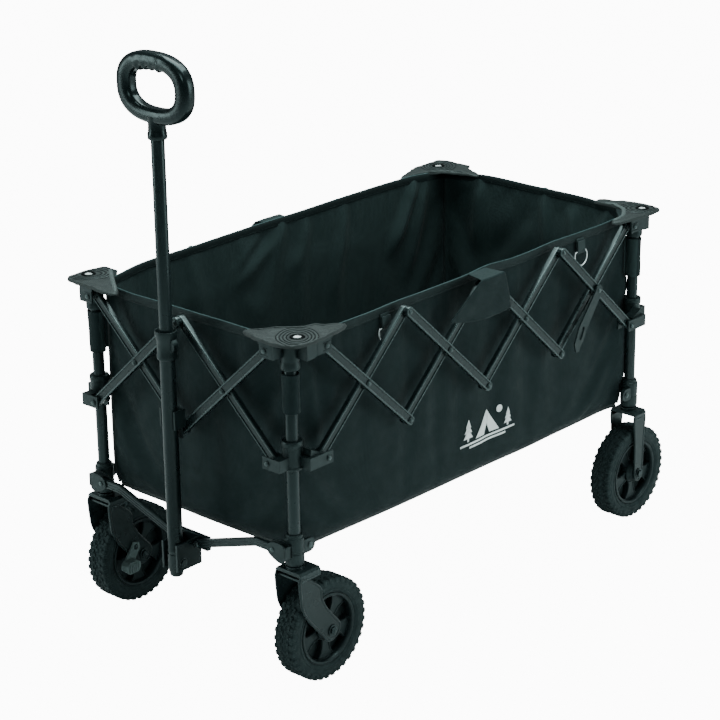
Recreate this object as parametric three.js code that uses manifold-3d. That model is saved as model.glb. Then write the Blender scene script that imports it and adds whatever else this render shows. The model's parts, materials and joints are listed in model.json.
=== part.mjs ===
// Folding camp wagon: four posts joined by scissor bars on every side, a fabric
// basket hung inside them, two swivelling and two fixed wheels, and a
// telescopic pull handle. Millimetres, +Z up, +X forwards (handle end), +Y left.
// Shown opened for use: all scissor bars at OPEN_DEG above the horizontal.

import * as THREE from 'three';
import { mergeVertices } from 'three/addons/utils/BufferGeometryUtils.js';
import Module from 'manifold-3d';

const wasm = await Module();
wasm.setup();
const { Manifold, Mesh: SolidMesh } = wasm;

// ---------------------------------------------------------------- dimensions
const SHIFT_X = 11.25;         // moves the origin to the middle of the length
const POST_X = 455;            // half distance between front and rear post axes
const POST_Y = 226;            // half distance between left and right post axes
const POST_R = 10;
const POST_BORE_R = 8.6;
const POST_BOTTOM = 222;
const POST_TOP = 600;

const UNIT_W = 204;            // horizontal span of one scissor unit, opened
const UNIT_H = 189;            // height between top and bottom pivots, opened
const TOP_Z = 590;             // height of the top pivots
const LOW_Z = TOP_Z - UNIT_H;
const PIVOT_A = 47;            // post axis to end pivot, along the long side
const PIVOT_B = 22;            // post axis to end pivot, along the short side
const LONG_UNITS = 4;
const SHORT_UNITS = 2;

const BAR_R = 8.5;             // half width of a scissor bar
const BAR_WALL = 1.5;
const BAR_WEB = 2.5;
const INNER_BAR = [12.5, 21.5];   // distance of the bar layers from the post axis
const OUTER_BAR = [22.5, 31.5];
const PIN_R = 3;
const HOLE_R = 3.6;
const HEAD_R = 5.5;
const EAR_IN = [8.5, 12];      // clevis ears of connectors and sliders
const EAR_OUT = [32, 35.5];
const EAR_HEAD = 37;

const SLIDER_R = 16;
const SLIDER_Z = [390, 436];
const SLEEVE_BORE_R = 10.5;

const WHEEL_R = 90;
const WHEEL_HALF_W = 22;
const RIM_R = 62;
const TRAIL = 56;              // front wheel axle behind its swivel axis
const LEG = [25, 28.5];        // fork legs, each side of the wheel's middle
const CROWN_Z = [200, 216];
const AXLE_R = 4;

const HANDLE_X = 505;          // axis of the telescopic handle
const HANDLE_R = 13.5;
const HANDLE_BORE_R = 11.5;
const INNER_R = 11;
const COLLAR_R = 17.5;
const HANDLE_PIVOT_Z = 177;
const LINK_X = [473.3, 480.7]; // the two links that carry the handle base
const LINK_PIN_Z = [250, 205]; // upper pin on the post, lower pin on the base
const LINK_PIN_Y = [204, 26];

const BAG_X = 442;             // fabric basket, outside
const BAG_Y = 213;
const BAG_T = 3;
const BAG_Z = [224, 592];
const BAG_CUT = 4;             // corner cut that clears the posts

// ------------------------------------------------------------------- helpers
function solidOf(geometry) {
  const g = geometry.clone();
  for (const name of Object.keys(g.attributes)) if (name !== 'position') g.deleteAttribute(name);
  const merged = mergeVertices(g, 1e-4);
  return new Manifold(new SolidMesh({
    numProp: 3,
    vertProperties: new Float32Array(merged.attributes.position.array),
    triVerts: new Uint32Array(merged.index.array),
  }));
}

function geometryOf(solid) {
  const m = solid.getMesh();
  const g = new THREE.BufferGeometry();
  g.setAttribute('position', new THREE.BufferAttribute(new Float32Array(m.vertProperties), 3));
  g.setIndex(new THREE.BufferAttribute(new Uint32Array(m.triVerts), 1));
  g.computeVertexNormals();
  return g;
}

const join = (...parts) => parts.reduce((a, b) => a.add(b));
const cut = (from, ...parts) => parts.reduce((a, b) => a.subtract(b), from);

function box(x0, x1, y0, y1, z0, z1) {
  const lo = [Math.min(x0, x1), Math.min(y0, y1), Math.min(z0, z1)];
  const hi = [Math.max(x0, x1), Math.max(y0, y1), Math.max(z0, z1)];
  const g = new THREE.BoxGeometry(hi[0] - lo[0], hi[1] - lo[1], hi[2] - lo[2]);
  g.translate((hi[0] + lo[0]) / 2, (hi[1] + lo[1]) / 2, (hi[2] + lo[2]) / 2);
  return solidOf(g);
}

// a cylinder along 'x', 'y' or 'z'; c holds the other two coordinates in order
function cyl(axis, r, c, from, to, segments = 12) {
  const lo = Math.min(from, to);
  const hi = Math.max(from, to);
  const g = new THREE.CylinderGeometry(r, r, hi - lo, segments);
  if (axis === 'x') { g.rotateZ(-Math.PI / 2); g.translate((lo + hi) / 2, c[0], c[1]); }
  if (axis === 'y') { g.translate(c[0], (lo + hi) / 2, c[1]); }
  if (axis === 'z') { g.rotateX(Math.PI / 2); g.translate(c[0], c[1], (lo + hi) / 2); }
  return solidOf(g);
}

// a prism: the outline lies in the plane 'xz', 'yz' or 'xy' and is pushed out
// along the third axis between two coordinates
function prism(plane, points, from, to, holes = []) {
  const lo = Math.min(from, to);
  const hi = Math.max(from, to);
  const shape = new THREE.Shape(points.map(([u, v]) => new THREE.Vector2(u, v)));
  for (const h of holes) shape.holes.push(new THREE.Path(h.map(([u, v]) => new THREE.Vector2(u, v))));
  const g = new THREE.ExtrudeGeometry(shape, { depth: hi - lo, bevelEnabled: false, steps: 1 });
  const m = new THREE.Matrix4();
  if (plane === 'xy') m.makeTranslation(0, 0, lo);
  if (plane === 'xz') {
    m.makeBasis(new THREE.Vector3(1, 0, 0), new THREE.Vector3(0, 0, 1), new THREE.Vector3(0, -1, 0));
    m.setPosition(0, hi, 0);
  }
  if (plane === 'yz') {
    m.makeBasis(new THREE.Vector3(0, 1, 0), new THREE.Vector3(0, 0, 1), new THREE.Vector3(1, 0, 0));
    m.setPosition(lo, 0, 0);
  }
  g.applyMatrix4(m);
  return solidOf(g);
}

// outline of a bar with round ends between two pivots
function stadium(p, q, r, segments = 4) {
  const a = Math.atan2(q[1] - p[1], q[0] - p[0]);
  const out = [];
  for (let i = 0; i <= segments; i++) {
    const t = a - Math.PI / 2 + (Math.PI * i) / segments;
    out.push([q[0] + r * Math.cos(t), q[1] + r * Math.sin(t)]);
  }
  for (let i = 0; i <= segments; i++) {
    const t = a + Math.PI / 2 + (Math.PI * i) / segments;
    out.push([p[0] + r * Math.cos(t), p[1] + r * Math.sin(t)]);
  }
  return out;
}

const paint = (name, color, roughness, metalness) => {
  const m = new THREE.MeshStandardMaterial({ color, roughness, metalness });
  m.name = name;
  return m;
};
const look = {
  frame: () => paint('frame_paint', 0x1d2322, 0.42, 0.4),
  plastic: () => paint('moulded_plastic', 0x181c1c, 0.55, 0),
  fabric: () => paint('basket_fabric', 0x1f2928, 0.92, 0),
  tyre: () => paint('tyre_rubber', 0x1b1f1f, 0.85, 0),
  steel: () => paint('zinc_plated_steel', 0x8a9090, 0.35, 0.9),
  pedal: () => paint('pedal_plastic', 0x7d8a87, 0.5, 0),
  grip: () => paint('grip_plastic', 0x1a2022, 0.48, 0),
};

const wagon = new THREE.Group();
wagon.position.x = SHIFT_X;

function add(name, solid, material) {
  const mesh = new THREE.Mesh(geometryOf(solid), material);
  mesh.name = name;
  wagon.add(mesh);
}

// --------------------------------------------------------------- scissor bars
// Outer bars start at a top pivot and run down; inner bars start at a bottom
// pivot and run up. Outer bars carry the rivets, inner bars have the holes.
const ends = { long: POST_X - PIVOT_A, short: POST_Y - PIVOT_B };

function scissorBar(side, kind, k, pins, holes, longPin = null) {
  const along = side === 'left' || side === 'right' ? 'x' : 'y';
  const start = along === 'x' ? ends.long : ends.short;
  const out = side === 'left' || side === 'front' ? 1 : -1;
  const offset = along === 'x' ? POST_Y : POST_X;
  const plane = along === 'x' ? 'xz' : 'yz';
  const normal = along === 'x' ? 'y' : 'x';
  const u0 = start - (k - 1) * UNIT_W;
  const u1 = u0 - UNIT_W;
  const p = kind === 'outer' ? [u0, TOP_Z] : [u0, LOW_Z];
  const q = kind === 'outer' ? [u1, LOW_Z] : [u1, TOP_Z];
  const c = [(p[0] + q[0]) / 2, (p[1] + q[1]) / 2];
  const layer = kind === 'outer' ? OUTER_BAR : INNER_BAR;
  const at = (d) => out * (offset + d);
  const points = { start: p, middle: c, end: q };
  let solid = cut(
    prism(plane, stadium(p, q, BAR_R), at(layer[0]), at(layer[1])),
    prism(plane, stadium(p, q, BAR_R - BAR_WALL), at(layer[0] - 1), at(layer[1] - BAR_WEB)),
  );
  for (const h of holes) solid = cut(solid, cyl(normal, HOLE_R, points[h], at(layer[0] - 2), at(layer[1] + 2), 8));
  for (const h of pins) {
    const far = longPin && longPin.at === h ? longPin.reach : layer[1];
    const head = longPin && longPin.at === h ? longPin.head : [layer[1] - 0.5, layer[1] + (longPin && longPin.flush === h ? 0.5 : 1.6)];
    solid = join(
      solid,
      cyl(normal, PIN_R, points[h], at(INNER_BAR[0] + 4.5), at(far), 8),
      cyl(normal, HEAD_R, points[h], at(head[0]), at(head[1]), 8),
      cyl(normal, HEAD_R - 0.5, points[h], at(INNER_BAR[0] + 3.8), at(INNER_BAR[0] + 5.8), 8),
    );
  }
  add(`${side}_${kind}_bar_${k}`, solid, look.frame());
}

for (const side of ['left', 'right', 'front', 'rear']) {
  const n = side === 'left' || side === 'right' ? LONG_UNITS : SHORT_UNITS;
  for (let k = 1; k <= n; k++) {
    // the first outer bar hangs on a connector and the last one on a slider,
    // where the pin belongs to the connector or slider
    const pins = ['middle'];
    const holes = [];
    if (k > 1) pins.push('start'); else holes.push('start');
    if (k < n) pins.push('end'); else holes.push('end');
    let longPin = null;
    if (side === 'left' && k === n) longPin = { at: 'middle', reach: 35.3, head: [35.2, EAR_HEAD] };
    if (side === 'front' && k === 1) longPin = { at: 'end', reach: 35, head: [34.8, 36] };
    if (side === 'front' && k === 2) longPin = { flush: 'start' };
    scissorBar(side, 'outer', k, pins, holes, longPin);
    scissorBar(side, 'inner', k, [], ['start', 'middle', 'end']);
  }
}

// ------------------------------------------- posts, connectors and sliders
// In a corner, a is measured outwards along X from the post axis and b outwards
// along Y.
const corners = [
  ['front_left', 1, 1], ['front_right', 1, -1], ['rear_left', -1, 1], ['rear_right', -1, -1],
];

for (const [name, sx, sy] of corners) {
  const X = (a) => sx * (POST_X + a);
  const Y = (b) => sy * (POST_Y + b);
  const c = [X(0), Y(0)];
  const block = (a0, a1, b0, b1, z0, z1) => box(X(a0), X(a1), Y(b0), Y(b1), z0, z1);

  // post: tube, bottom socket and its lugs
  let post = join(
    cyl('z', POST_R, c, POST_BOTTOM + 4, POST_TOP, 16),
    cyl('z', 16, c, POST_BOTTOM, 272, 16),
    block(-32, -8, 5, 12, 239, 263),
  );
  if (sx > 0) {
    post = join(
      post,
      block(4, 18, -11, 8, 238, 262),
      block(14.8, 29.2, 4.5, 8, 238, 262),
      block(14.8, 18, -32, -10.5, 239, 261),
      block(26, 29.2, -32, 8, 239, 261),
      cyl('x', HEAD_R, [Y(-PIVOT_B), LINK_PIN_Z[0]], X(29), X(30.8), 8),
    );
  }
  post = cut(
    post,
    cyl('z', POST_BORE_R, c, 240, POST_TOP + 5, 16),
    cyl('y', 3.2, [X(-24), 251], Y(0), Y(20), 8),
  );
  add(`${name}_post`, post, look.frame());

  // top connector: cap on the post, plate, and two clevises for the bars
  const plate = [[-60, 36], [-20, 36], [20, 20], [36, -6], [36, -34], [8, -34], [-24, -24], [-60, 8]];
  let top = join(
    prism('xy', plate.map(([a, b]) => [X(a), Y(b)]), POST_TOP + 0.6, POST_TOP + 6),
    cyl('z', 15, c, 562, POST_TOP + 3, 16),
    block(-57, -30, EAR_IN[0], EAR_IN[1], 579, POST_TOP + 2),
    block(-57, -30, EAR_OUT[0], EAR_OUT[1], 579, POST_TOP + 2),
    block(-37, -4, EAR_IN[0], EAR_OUT[1] - 13, 579, POST_TOP + 2),
    block(-37, -26, EAR_IN[0], EAR_OUT[1], 579, POST_TOP + 2),
    block(EAR_IN[0], EAR_IN[1], -32, -8, 579, POST_TOP + 2),
    block(EAR_OUT[0], EAR_OUT[1], -32, -6, 579, POST_TOP + 2),
    block(4, EAR_OUT[1], -12, -2, 579, POST_TOP + 2),
    cyl('y', PIN_R, [X(-PIVOT_A), TOP_Z], Y(EAR_IN[0] + 1), Y(EAR_HEAD - 1), 8),
    cyl('y', HEAD_R, [X(-PIVOT_A), TOP_Z], Y(EAR_OUT[1] - 1), Y(EAR_HEAD), 8),
    cyl('x', PIN_R, [Y(-PIVOT_B), TOP_Z], X(EAR_IN[0] + 1), X(EAR_HEAD - 1), 8),
    cyl('x', HEAD_R, [Y(-PIVOT_B), TOP_Z], X(EAR_OUT[1] - 1), X(EAR_HEAD), 8),
  );
  top = cut(top, cyl('z', SLEEVE_BORE_R, c, 550, POST_TOP + 0.35, 16));
  add(`${name}_top_connector`, top, look.plastic());

  // slider: collar that runs on the post, with two clevises for the bars
  let slider = join(
    cyl('z', SLIDER_R, c, SLIDER_Z[0], SLIDER_Z[1], 16),
    block(-37, -4, EAR_IN[0], EAR_OUT[1], 391, 412),
    block(-57, -36, EAR_IN[0], EAR_IN[1], 391, 412),
    block(-57, -36, EAR_OUT[0], EAR_OUT[1], 391, 412),
    block(6, EAR_OUT[1], -12, 6, 391, 412),
    block(EAR_IN[0], EAR_IN[1], -32, -10, 391, 412),
    block(EAR_OUT[0], EAR_OUT[1], -32, -10, 391, 412),
    cyl('y', PIN_R, [X(-PIVOT_A), LOW_Z], Y(EAR_IN[0] + 1), Y(EAR_HEAD - 1), 8),
    cyl('y', HEAD_R, [X(-PIVOT_A), LOW_Z], Y(EAR_OUT[1] - 1), Y(EAR_HEAD), 8),
    cyl('x', PIN_R, [Y(-PIVOT_B), LOW_Z], X(EAR_IN[0] + 1), X(EAR_HEAD - 1), 8),
    cyl('x', HEAD_R, [Y(-PIVOT_B), LOW_Z], X(EAR_OUT[1] - 1), X(EAR_HEAD), 8),
  );
  slider = cut(slider, cyl('z', SLEEVE_BORE_R, c, 380, 450, 16));
  add(`${name}_slider`, slider, look.plastic());

  // fork: crown under the post and one leg each side of the wheel
  const front = sx > 0;
  const axleA = front ? -TRAIL : 0;
  const legOutline = front
    ? [[16, 211], [17, 168], [11, 143], [-6, 118], [-30, 90], [-40, 76], [-52, 71], [-66, 75], [-75, 86], [-75, 99],
      [-62, 115], [-46, 135], [-34, 158], [-30, 180], [-30, 211]]
    : [[17, 211], [15, 160], [13, 88], [8, 78], [0, 74], [-8, 78], [-13, 88], [-15, 160], [-17, 211]];
  const crownA = front ? [-30, 16] : [-17, 17];
  let fork = join(
    prism('yz', [[-LEG[1], CROWN_Z[0]], [LEG[1], CROWN_Z[0]], [LEG[1], CROWN_Z[1] - 5], [LEG[1] - 4, CROWN_Z[1]], [4 - LEG[1], CROWN_Z[1]], [-LEG[1], CROWN_Z[1] - 5]]
      .map(([b, z]) => [Y(b), z]), X(crownA[0]), X(crownA[1])),
    cyl('z', 12, c, CROWN_Z[1] - 1, POST_BOTTOM - 0.3, 16),
    prism('xz', legOutline.map(([a, z]) => [X(a), z]), Y(LEG[0]), Y(LEG[1])),
    prism('xz', legOutline.map(([a, z]) => [X(a), z]), Y(-LEG[0]), Y(-LEG[1])),
  );
  const axleAt = [X(axleA), WHEEL_R];
  const bolt = (extra) => join(
    cyl('y', AXLE_R, axleAt, Y(-32), Y(32), 12),
    cyl('y', 7, axleAt, Y(LEG[1] + extra), Y(33), 6),
    cyl('y', 7, axleAt, Y(-LEG[1] - extra), Y(-33), 6),
  );
  if (front) {
    fork = cut(
      fork,
      cyl('y', AXLE_R + 0.5, axleAt, Y(-40), Y(40), 12),
      cyl('y', HOLE_R, [X(-34), 112], Y(-LEG[0] + 3), Y(-LEG[1] - 3), 8),
    );
    add(`${name}_axle`, bolt(0.3), look.steel());
    // foot brake: lever on the inner leg with a broad paddle
    const lever = [[-42, 118], [-30, 122], [-24, 112], [-8, 92], [-4, 76], [-20, 74], [-30, 88], [-43, 108]];
    add(`${name}_brake_pedal`, join(
      prism('xz', lever.map(([a, z]) => [X(a), z]), Y(-29), Y(-33)),
      prism('xz', [[-31, 80], [-26, 73], [-6, 72], [0, 78], [0, 88], [-6, 94], [-24, 94], [-30, 90]].map(([a, z]) => [X(a), z]), Y(-30), Y(-47)),
      cyl('y', PIN_R, [X(-34), 112], Y(-LEG[0] - 0.2), Y(-31), 8),
    ), look.pedal());
  } else {
    fork = join(fork, bolt(-0.5));
  }
  add(`${name}_fork`, fork, look.frame());

  // wheel: tyre and rim ring, five spokes and a hub with a plain bore
  const section = [[RIM_R, -18], [72, -WHEEL_HALF_W], [84, -21], [WHEEL_R, -14], [WHEEL_R, 14], [84, 21],
    [72, WHEEL_HALF_W], [RIM_R, 18], [RIM_R, -18]];
  const ring = solidOf(new THREE.LatheGeometry(section.map(([r, y]) => new THREE.Vector2(r, y)), 26)
    .translate(X(axleA), Y(0), WHEEL_R));
  let wheel = join(ring, cyl('y', 17, axleAt, Y(-23.5), Y(23.5), 12));
  for (let i = 0; i < 5; i++) {
    const g = new THREE.BoxGeometry(52, 14, 17);
    g.translate(38, 0, 0);
    g.rotateY((i * 2 * Math.PI) / 5 + 0.3);
    g.translate(X(axleA), Y(0), WHEEL_R);
    wheel = wheel.add(solidOf(g));
  }
  wheel = cut(wheel, cyl('y', AXLE_R + 0.6, axleAt, Y(-30), Y(30), 12));
  add(`${name}_wheel`, wheel, look.tyre());
}

// -------------------------------------------------------------- frame latch
// A hooked lever on the middle rivet of the last left-hand scissor.
{
  const cx = ends.long - 3.5 * UNIT_W;
  const cz = (TOP_Z + LOW_Z) / 2;
  const outline = [[-9, 4], [-3, 10], [6, 9], [11, 1], [58, -56], [70, -84], [66, -100], [57, -101], [53, -92], [44, -82], [36, -66], [-7, -7]];
  const slot = stadium([46, -60], [54, -76], 4, 4);
  add('frame_latch', cut(
    prism('xz', outline.map(([a, z]) => [cx + a, cz + z]), POST_Y + 32, POST_Y + 34.8, [slot.map(([a, z]) => [cx + a, cz + z])]),
    cyl('y', HOLE_R, [cx, cz], POST_Y + 25, POST_Y + 40, 8),
  ), look.plastic());
}

// ------------------------------------------------------------------- handle
{
  const base = join(
    box(463.5, 472.5, -42, 42, 193, 217),
    box(463.5, 519, 14.4, 18.4, 163, 212),
    box(463.5, 519, -18.4, -14.4, 163, 212),
    cyl('x', PIN_R, [LINK_PIN_Y[1], LINK_PIN_Z[1]], 471, 483, 8),
    cyl('x', HEAD_R, [LINK_PIN_Y[1], LINK_PIN_Z[1]], 481.2, 483.2, 8),
    cyl('x', PIN_R, [-LINK_PIN_Y[1], LINK_PIN_Z[1]], 471, 483, 8),
    cyl('x', HEAD_R, [-LINK_PIN_Y[1], LINK_PIN_Z[1]], 481.2, 483.2, 8),
    cyl('y', 4, [HANDLE_X, HANDLE_PIVOT_Z], -20, 20, 12),
    cyl('y', 7, [HANDLE_X, HANDLE_PIVOT_Z], 18, 21.5, 6),
    cyl('y', 7, [HANDLE_X, HANDLE_PIVOT_Z], -18, -21.5, 6),
  );
  add('handle_base_bracket', base, look.frame());

  // links: a flat bar with a bend near its upper end, which turns between the
  // two ears of the post bracket
  for (const [name, s] of [['left', 1], ['right', -1]]) {
    const upper = stadium([s * 162, 250], [s * LINK_PIN_Y[0], LINK_PIN_Z[0]], 7);
    const lower = stadium([s * LINK_PIN_Y[1], LINK_PIN_Z[1]], [s * 162, 250], 7);
    add(`handle_link_${name}`, cut(
      join(prism('yz', upper, LINK_X[0], LINK_X[1]), prism('yz', lower, LINK_X[0], LINK_X[1])),
      cyl('x', HOLE_R, [s * LINK_PIN_Y[1], LINK_PIN_Z[1]], 460, 490, 8),
    ), look.frame());
  }

  // outer tube with its end socket and collar, open at the top
  const tube = cut(
    join(
      cyl('z', HANDLE_R, [HANDLE_X, 0], 149, 582, 16),
      cyl('z', COLLAR_R, [HANDLE_X, 0], 536, 582, 16),
    ),
    cyl('z', HANDLE_BORE_R, [HANDLE_X, 0], 200, 600, 16),
    cyl('y', 4.5, [HANDLE_X, HANDLE_PIVOT_Z], -20, 20, 12),
  );
  add('handle_outer_tube', tube, look.frame());
  add('handle_inner_tube', cut(
    cyl('z', INNER_R, [HANDLE_X, 0], 530, 915, 16),
    cyl('z', INNER_R - 1.4, [HANDLE_X, 0], 520, 900, 16),
  ), look.frame());

  // loop grip on the inner tube
  const loop = (a, b, n, count) => {
    const pts = [];
    for (let i = 0; i < count; i++) {
      const t = (i * 2 * Math.PI) / count;
      const c = Math.cos(t);
      const s = Math.sin(t);
      pts.push([a * Math.sign(c) * Math.abs(c) ** (2 / n), 978 + b * Math.sign(s) * Math.abs(s) ** (2 / n)]);
    }
    return pts;
  };
  add('handle_grip', cut(
    join(
      prism('yz', loop(80, 57, 2.5, 28), HANDLE_X - 14, HANDLE_X + 14, [loop(51, 31, 2.5, 24)]),
      cyl('z', 15.5, [HANDLE_X, 0], 897, 932, 16),
    ),
    cyl('z', INNER_R + 0.6, [HANDLE_X, 0], 890, 915.5, 16),
  ), look.grip());

  // clip on the front middle rivet that holds the handle upright
  add('handle_clip', cut(
    join(
      box(486.9, 489.6, -11, 11, LOW_Z - 9, 418),
      box(486.9, HANDLE_X + 6, -18, 18, 414, 446),
    ),
    cyl('z', HANDLE_R + 0.5, [HANDLE_X, 0], 400, 460, 16),
    box(HANDLE_X, HANDLE_X + 20, -HANDLE_R - 0.5, HANDLE_R + 0.5, 400, 460),
    cyl('x', HOLE_R, [0, LOW_Z], 480, 500, 8),
  ), look.plastic());
}

// -------------------------------------------------------------------- basket
{
  const ring = (ox, oy, k) => [[ox, oy - k], [ox - k, oy], [-(ox - k), oy], [-ox, oy - k], [-ox, -(oy - k)], [-(ox - k), -oy], [ox - k, -oy], [ox, -(oy - k)]];
  add('basket_walls', prism('xy', ring(BAG_X, BAG_Y, BAG_CUT), BAG_Z[0], BAG_Z[1], [ring(BAG_X - BAG_T, BAG_Y - BAG_T, BAG_CUT - 1)]), look.fabric());
  const fx = BAG_X - BAG_T - 2;
  const fy = BAG_Y - BAG_T - 2;
  for (const [name, s] of [['left', 1], ['right', -1]]) {
    add(`basket_floor_${name}`, prism('xy', [[fx, s * 1], [fx, s * (fy - 24)], [fx - 24, s * fy], [-(fx - 24), s * fy], [-fx, s * (fy - 24)], [-fx, s * 1]], BAG_Z[0] + 2, BAG_Z[0] + 8), look.fabric());
  }
}

export default wagon;
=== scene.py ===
"""Folding camp wagon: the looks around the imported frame. Lengths in the builders below are millimetres, measured
from the middle of the basket (X to the handle end, Y to the left, Z up from the ground)."""

import json
import math

import bmesh
import bpy
import numpy as np
from mathutils import Matrix, Vector, noise

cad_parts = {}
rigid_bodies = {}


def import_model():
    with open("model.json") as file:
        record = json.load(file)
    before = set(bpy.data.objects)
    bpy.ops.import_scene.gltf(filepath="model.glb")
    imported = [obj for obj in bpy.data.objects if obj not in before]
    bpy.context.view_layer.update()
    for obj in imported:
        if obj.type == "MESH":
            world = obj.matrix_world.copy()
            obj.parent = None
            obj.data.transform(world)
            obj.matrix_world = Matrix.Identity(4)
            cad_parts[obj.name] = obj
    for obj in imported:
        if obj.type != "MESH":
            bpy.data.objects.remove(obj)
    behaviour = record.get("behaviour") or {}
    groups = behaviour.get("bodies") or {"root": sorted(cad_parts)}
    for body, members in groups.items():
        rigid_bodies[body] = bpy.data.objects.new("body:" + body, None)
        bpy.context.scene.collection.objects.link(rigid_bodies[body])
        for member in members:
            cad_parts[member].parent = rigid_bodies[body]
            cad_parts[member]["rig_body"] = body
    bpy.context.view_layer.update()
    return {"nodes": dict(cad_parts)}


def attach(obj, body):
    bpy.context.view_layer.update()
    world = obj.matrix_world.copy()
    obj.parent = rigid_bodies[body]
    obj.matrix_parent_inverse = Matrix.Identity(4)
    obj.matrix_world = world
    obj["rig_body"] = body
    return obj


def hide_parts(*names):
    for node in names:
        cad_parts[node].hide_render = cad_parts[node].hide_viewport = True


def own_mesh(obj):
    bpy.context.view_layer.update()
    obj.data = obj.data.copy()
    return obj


SHIFT = 11.25  # the frame's origin is this far behind the middle of the basket

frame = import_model()
scene = bpy.context.scene

# ------------------------------------------------------------------ materials


def material(name):
    m = bpy.data.materials.new(name)
    m.use_nodes = True
    nt = m.node_tree
    return m, nt, nt.nodes["Principled BSDF"]


def node(nt, kind, **values):
    n = nt.nodes.new(kind)
    for k, v in values.items():
        if k in n.inputs:
            n.inputs[k].default_value = v
        else:
            setattr(n, k, v)
    return n


def coords(nt, scale=(1, 1, 1), turn=(0, 0, 0)):
    t = nt.nodes.new("ShaderNodeTexCoord")
    mp = node(nt, "ShaderNodeMapping", Scale=scale, Rotation=turn)
    nt.links.new(t.outputs["Object"], mp.inputs["Vector"])
    return mp.outputs["Vector"]


def noise_tex(nt, vec, scale, detail=3.0, rough=0.55):
    n = node(nt, "ShaderNodeTexNoise", Scale=scale, Detail=detail, Roughness=rough)
    nt.links.new(vec, n.inputs["Vector"])
    return n.outputs["Fac"]


def remap(nt, fac, lo, hi, a=0.3, b=0.7):
    n = node(nt, "ShaderNodeMapRange")
    n.inputs["From Min"].default_value = a
    n.inputs["From Max"].default_value = b
    n.inputs["To Min"].default_value = lo
    n.inputs["To Max"].default_value = hi
    nt.links.new(fac, n.inputs["Value"])
    return n.outputs["Result"]


def mix_color(nt, fac, c1, c2):
    n = nt.nodes.new("ShaderNodeMix")
    n.data_type = "RGBA"
    n.inputs["Factor"].default_value = 0.5
    if fac is not None:
        nt.links.new(fac, n.inputs["Factor"])
    for sock, c in ((n.inputs["A"], c1), (n.inputs["B"], c2)):
        pass
    ins = [s for s in n.inputs if s.type == "RGBA"]
    for s, c in zip(ins, (c1, c2)):
        if isinstance(c, (tuple, list)):
            s.default_value = (*c[:3], 1)
        else:
            nt.links.new(c, s)
    return [s for s in n.outputs if s.type == "RGBA"][0]


def maths(nt, op, a, b=None):
    n = node(nt, "ShaderNodeMath")
    n.operation = op
    for i, x in enumerate((a, b)):
        if x is None:
            continue
        if isinstance(x, (int, float)):
            n.inputs[i].default_value = x
        else:
            nt.links.new(x, n.inputs[i])
    return n.outputs[0]


def bump(nt, bsdf, height, strength, distance, into=None):
    n = node(nt, "ShaderNodeBump", Strength=strength, Distance=distance)
    nt.links.new(height, n.inputs["Height"])
    if into is not None:
        nt.links.new(into, n.inputs["Normal"])
    nt.links.new(n.outputs["Normal"], bsdf.inputs["Normal"])
    return n.outputs["Normal"]


def wave(nt, vec, scale, direction):
    n = node(nt, "ShaderNodeTexWave", Scale=scale, Distortion=0.0, Detail=0.0)
    n.wave_type, n.bands_direction, n.wave_profile = "BANDS", direction, "SIN"
    nt.links.new(vec, n.inputs["Vector"])
    return n.outputs["Fac"]


def paint(name, c, rough=0.36, grain=1400, strength=0.12, var=0.18, edge_wear_and_highlight=0.5, spec=0.36):
    """Powder-coated steel: fine orange peel, slow tone changes, and edges lightened by pointiness, partly wear and
    partly a painted highlight.
    """
    m, nt, b = material(name)
    v = coords(nt)
    dark = tuple(x * (1 - var) for x in c)
    light = tuple(x * (1 + var) for x in c)
    base = mix_color(nt, remap(nt, noise_tex(nt, v, 14), 0, 1), dark, light)
    if edge_wear_and_highlight:
        # pointy edges are painted lighter: partly wear, partly a painted highlight along the edges
        g = nt.nodes.new("ShaderNodeNewGeometry")
        edge = remap(nt, g.outputs["Pointiness"], 0, edge_wear_and_highlight, 0.52, 0.62)
        base = mix_color(nt, edge, base, tuple(min(1, x * 5 + 0.015) for x in c))
    nt.links.new(base, b.inputs["Base Color"])
    nt.links.new(remap(nt, noise_tex(nt, v, 60), rough - 0.05, rough + 0.08), b.inputs["Roughness"])
    bump(nt, b, noise_tex(nt, v, grain, 2), strength, 0.0003)
    b.inputs["Specular IOR Level"].default_value = spec
    b.inputs["Specular Tint"].default_value = (0.78, 1.0, 1.0, 1)
    return m


def moulded(name, c, rough=0.48, grain=1800, strength=0.2, var=0.15, spec=0.32):
    """Moulded plastic: spark-eroded grain and slow sheen changes."""
    m, nt, b = material(name)
    v = coords(nt)
    base = mix_color(nt, remap(nt, noise_tex(nt, v, 22), 0, 1), tuple(x * (1 - var) for x in c), tuple(x * (1 + var) for x in c))
    nt.links.new(base, b.inputs["Base Color"])
    nt.links.new(remap(nt, noise_tex(nt, v, 90), rough - 0.06, rough + 0.08), b.inputs["Roughness"])
    bump(nt, b, noise_tex(nt, v, grain, 2), strength, 0.0002)
    b.inputs["Specular IOR Level"].default_value = spec
    b.inputs["Specular Tint"].default_value = (0.74, 1.0, 1.0, 1)
    return m


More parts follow.
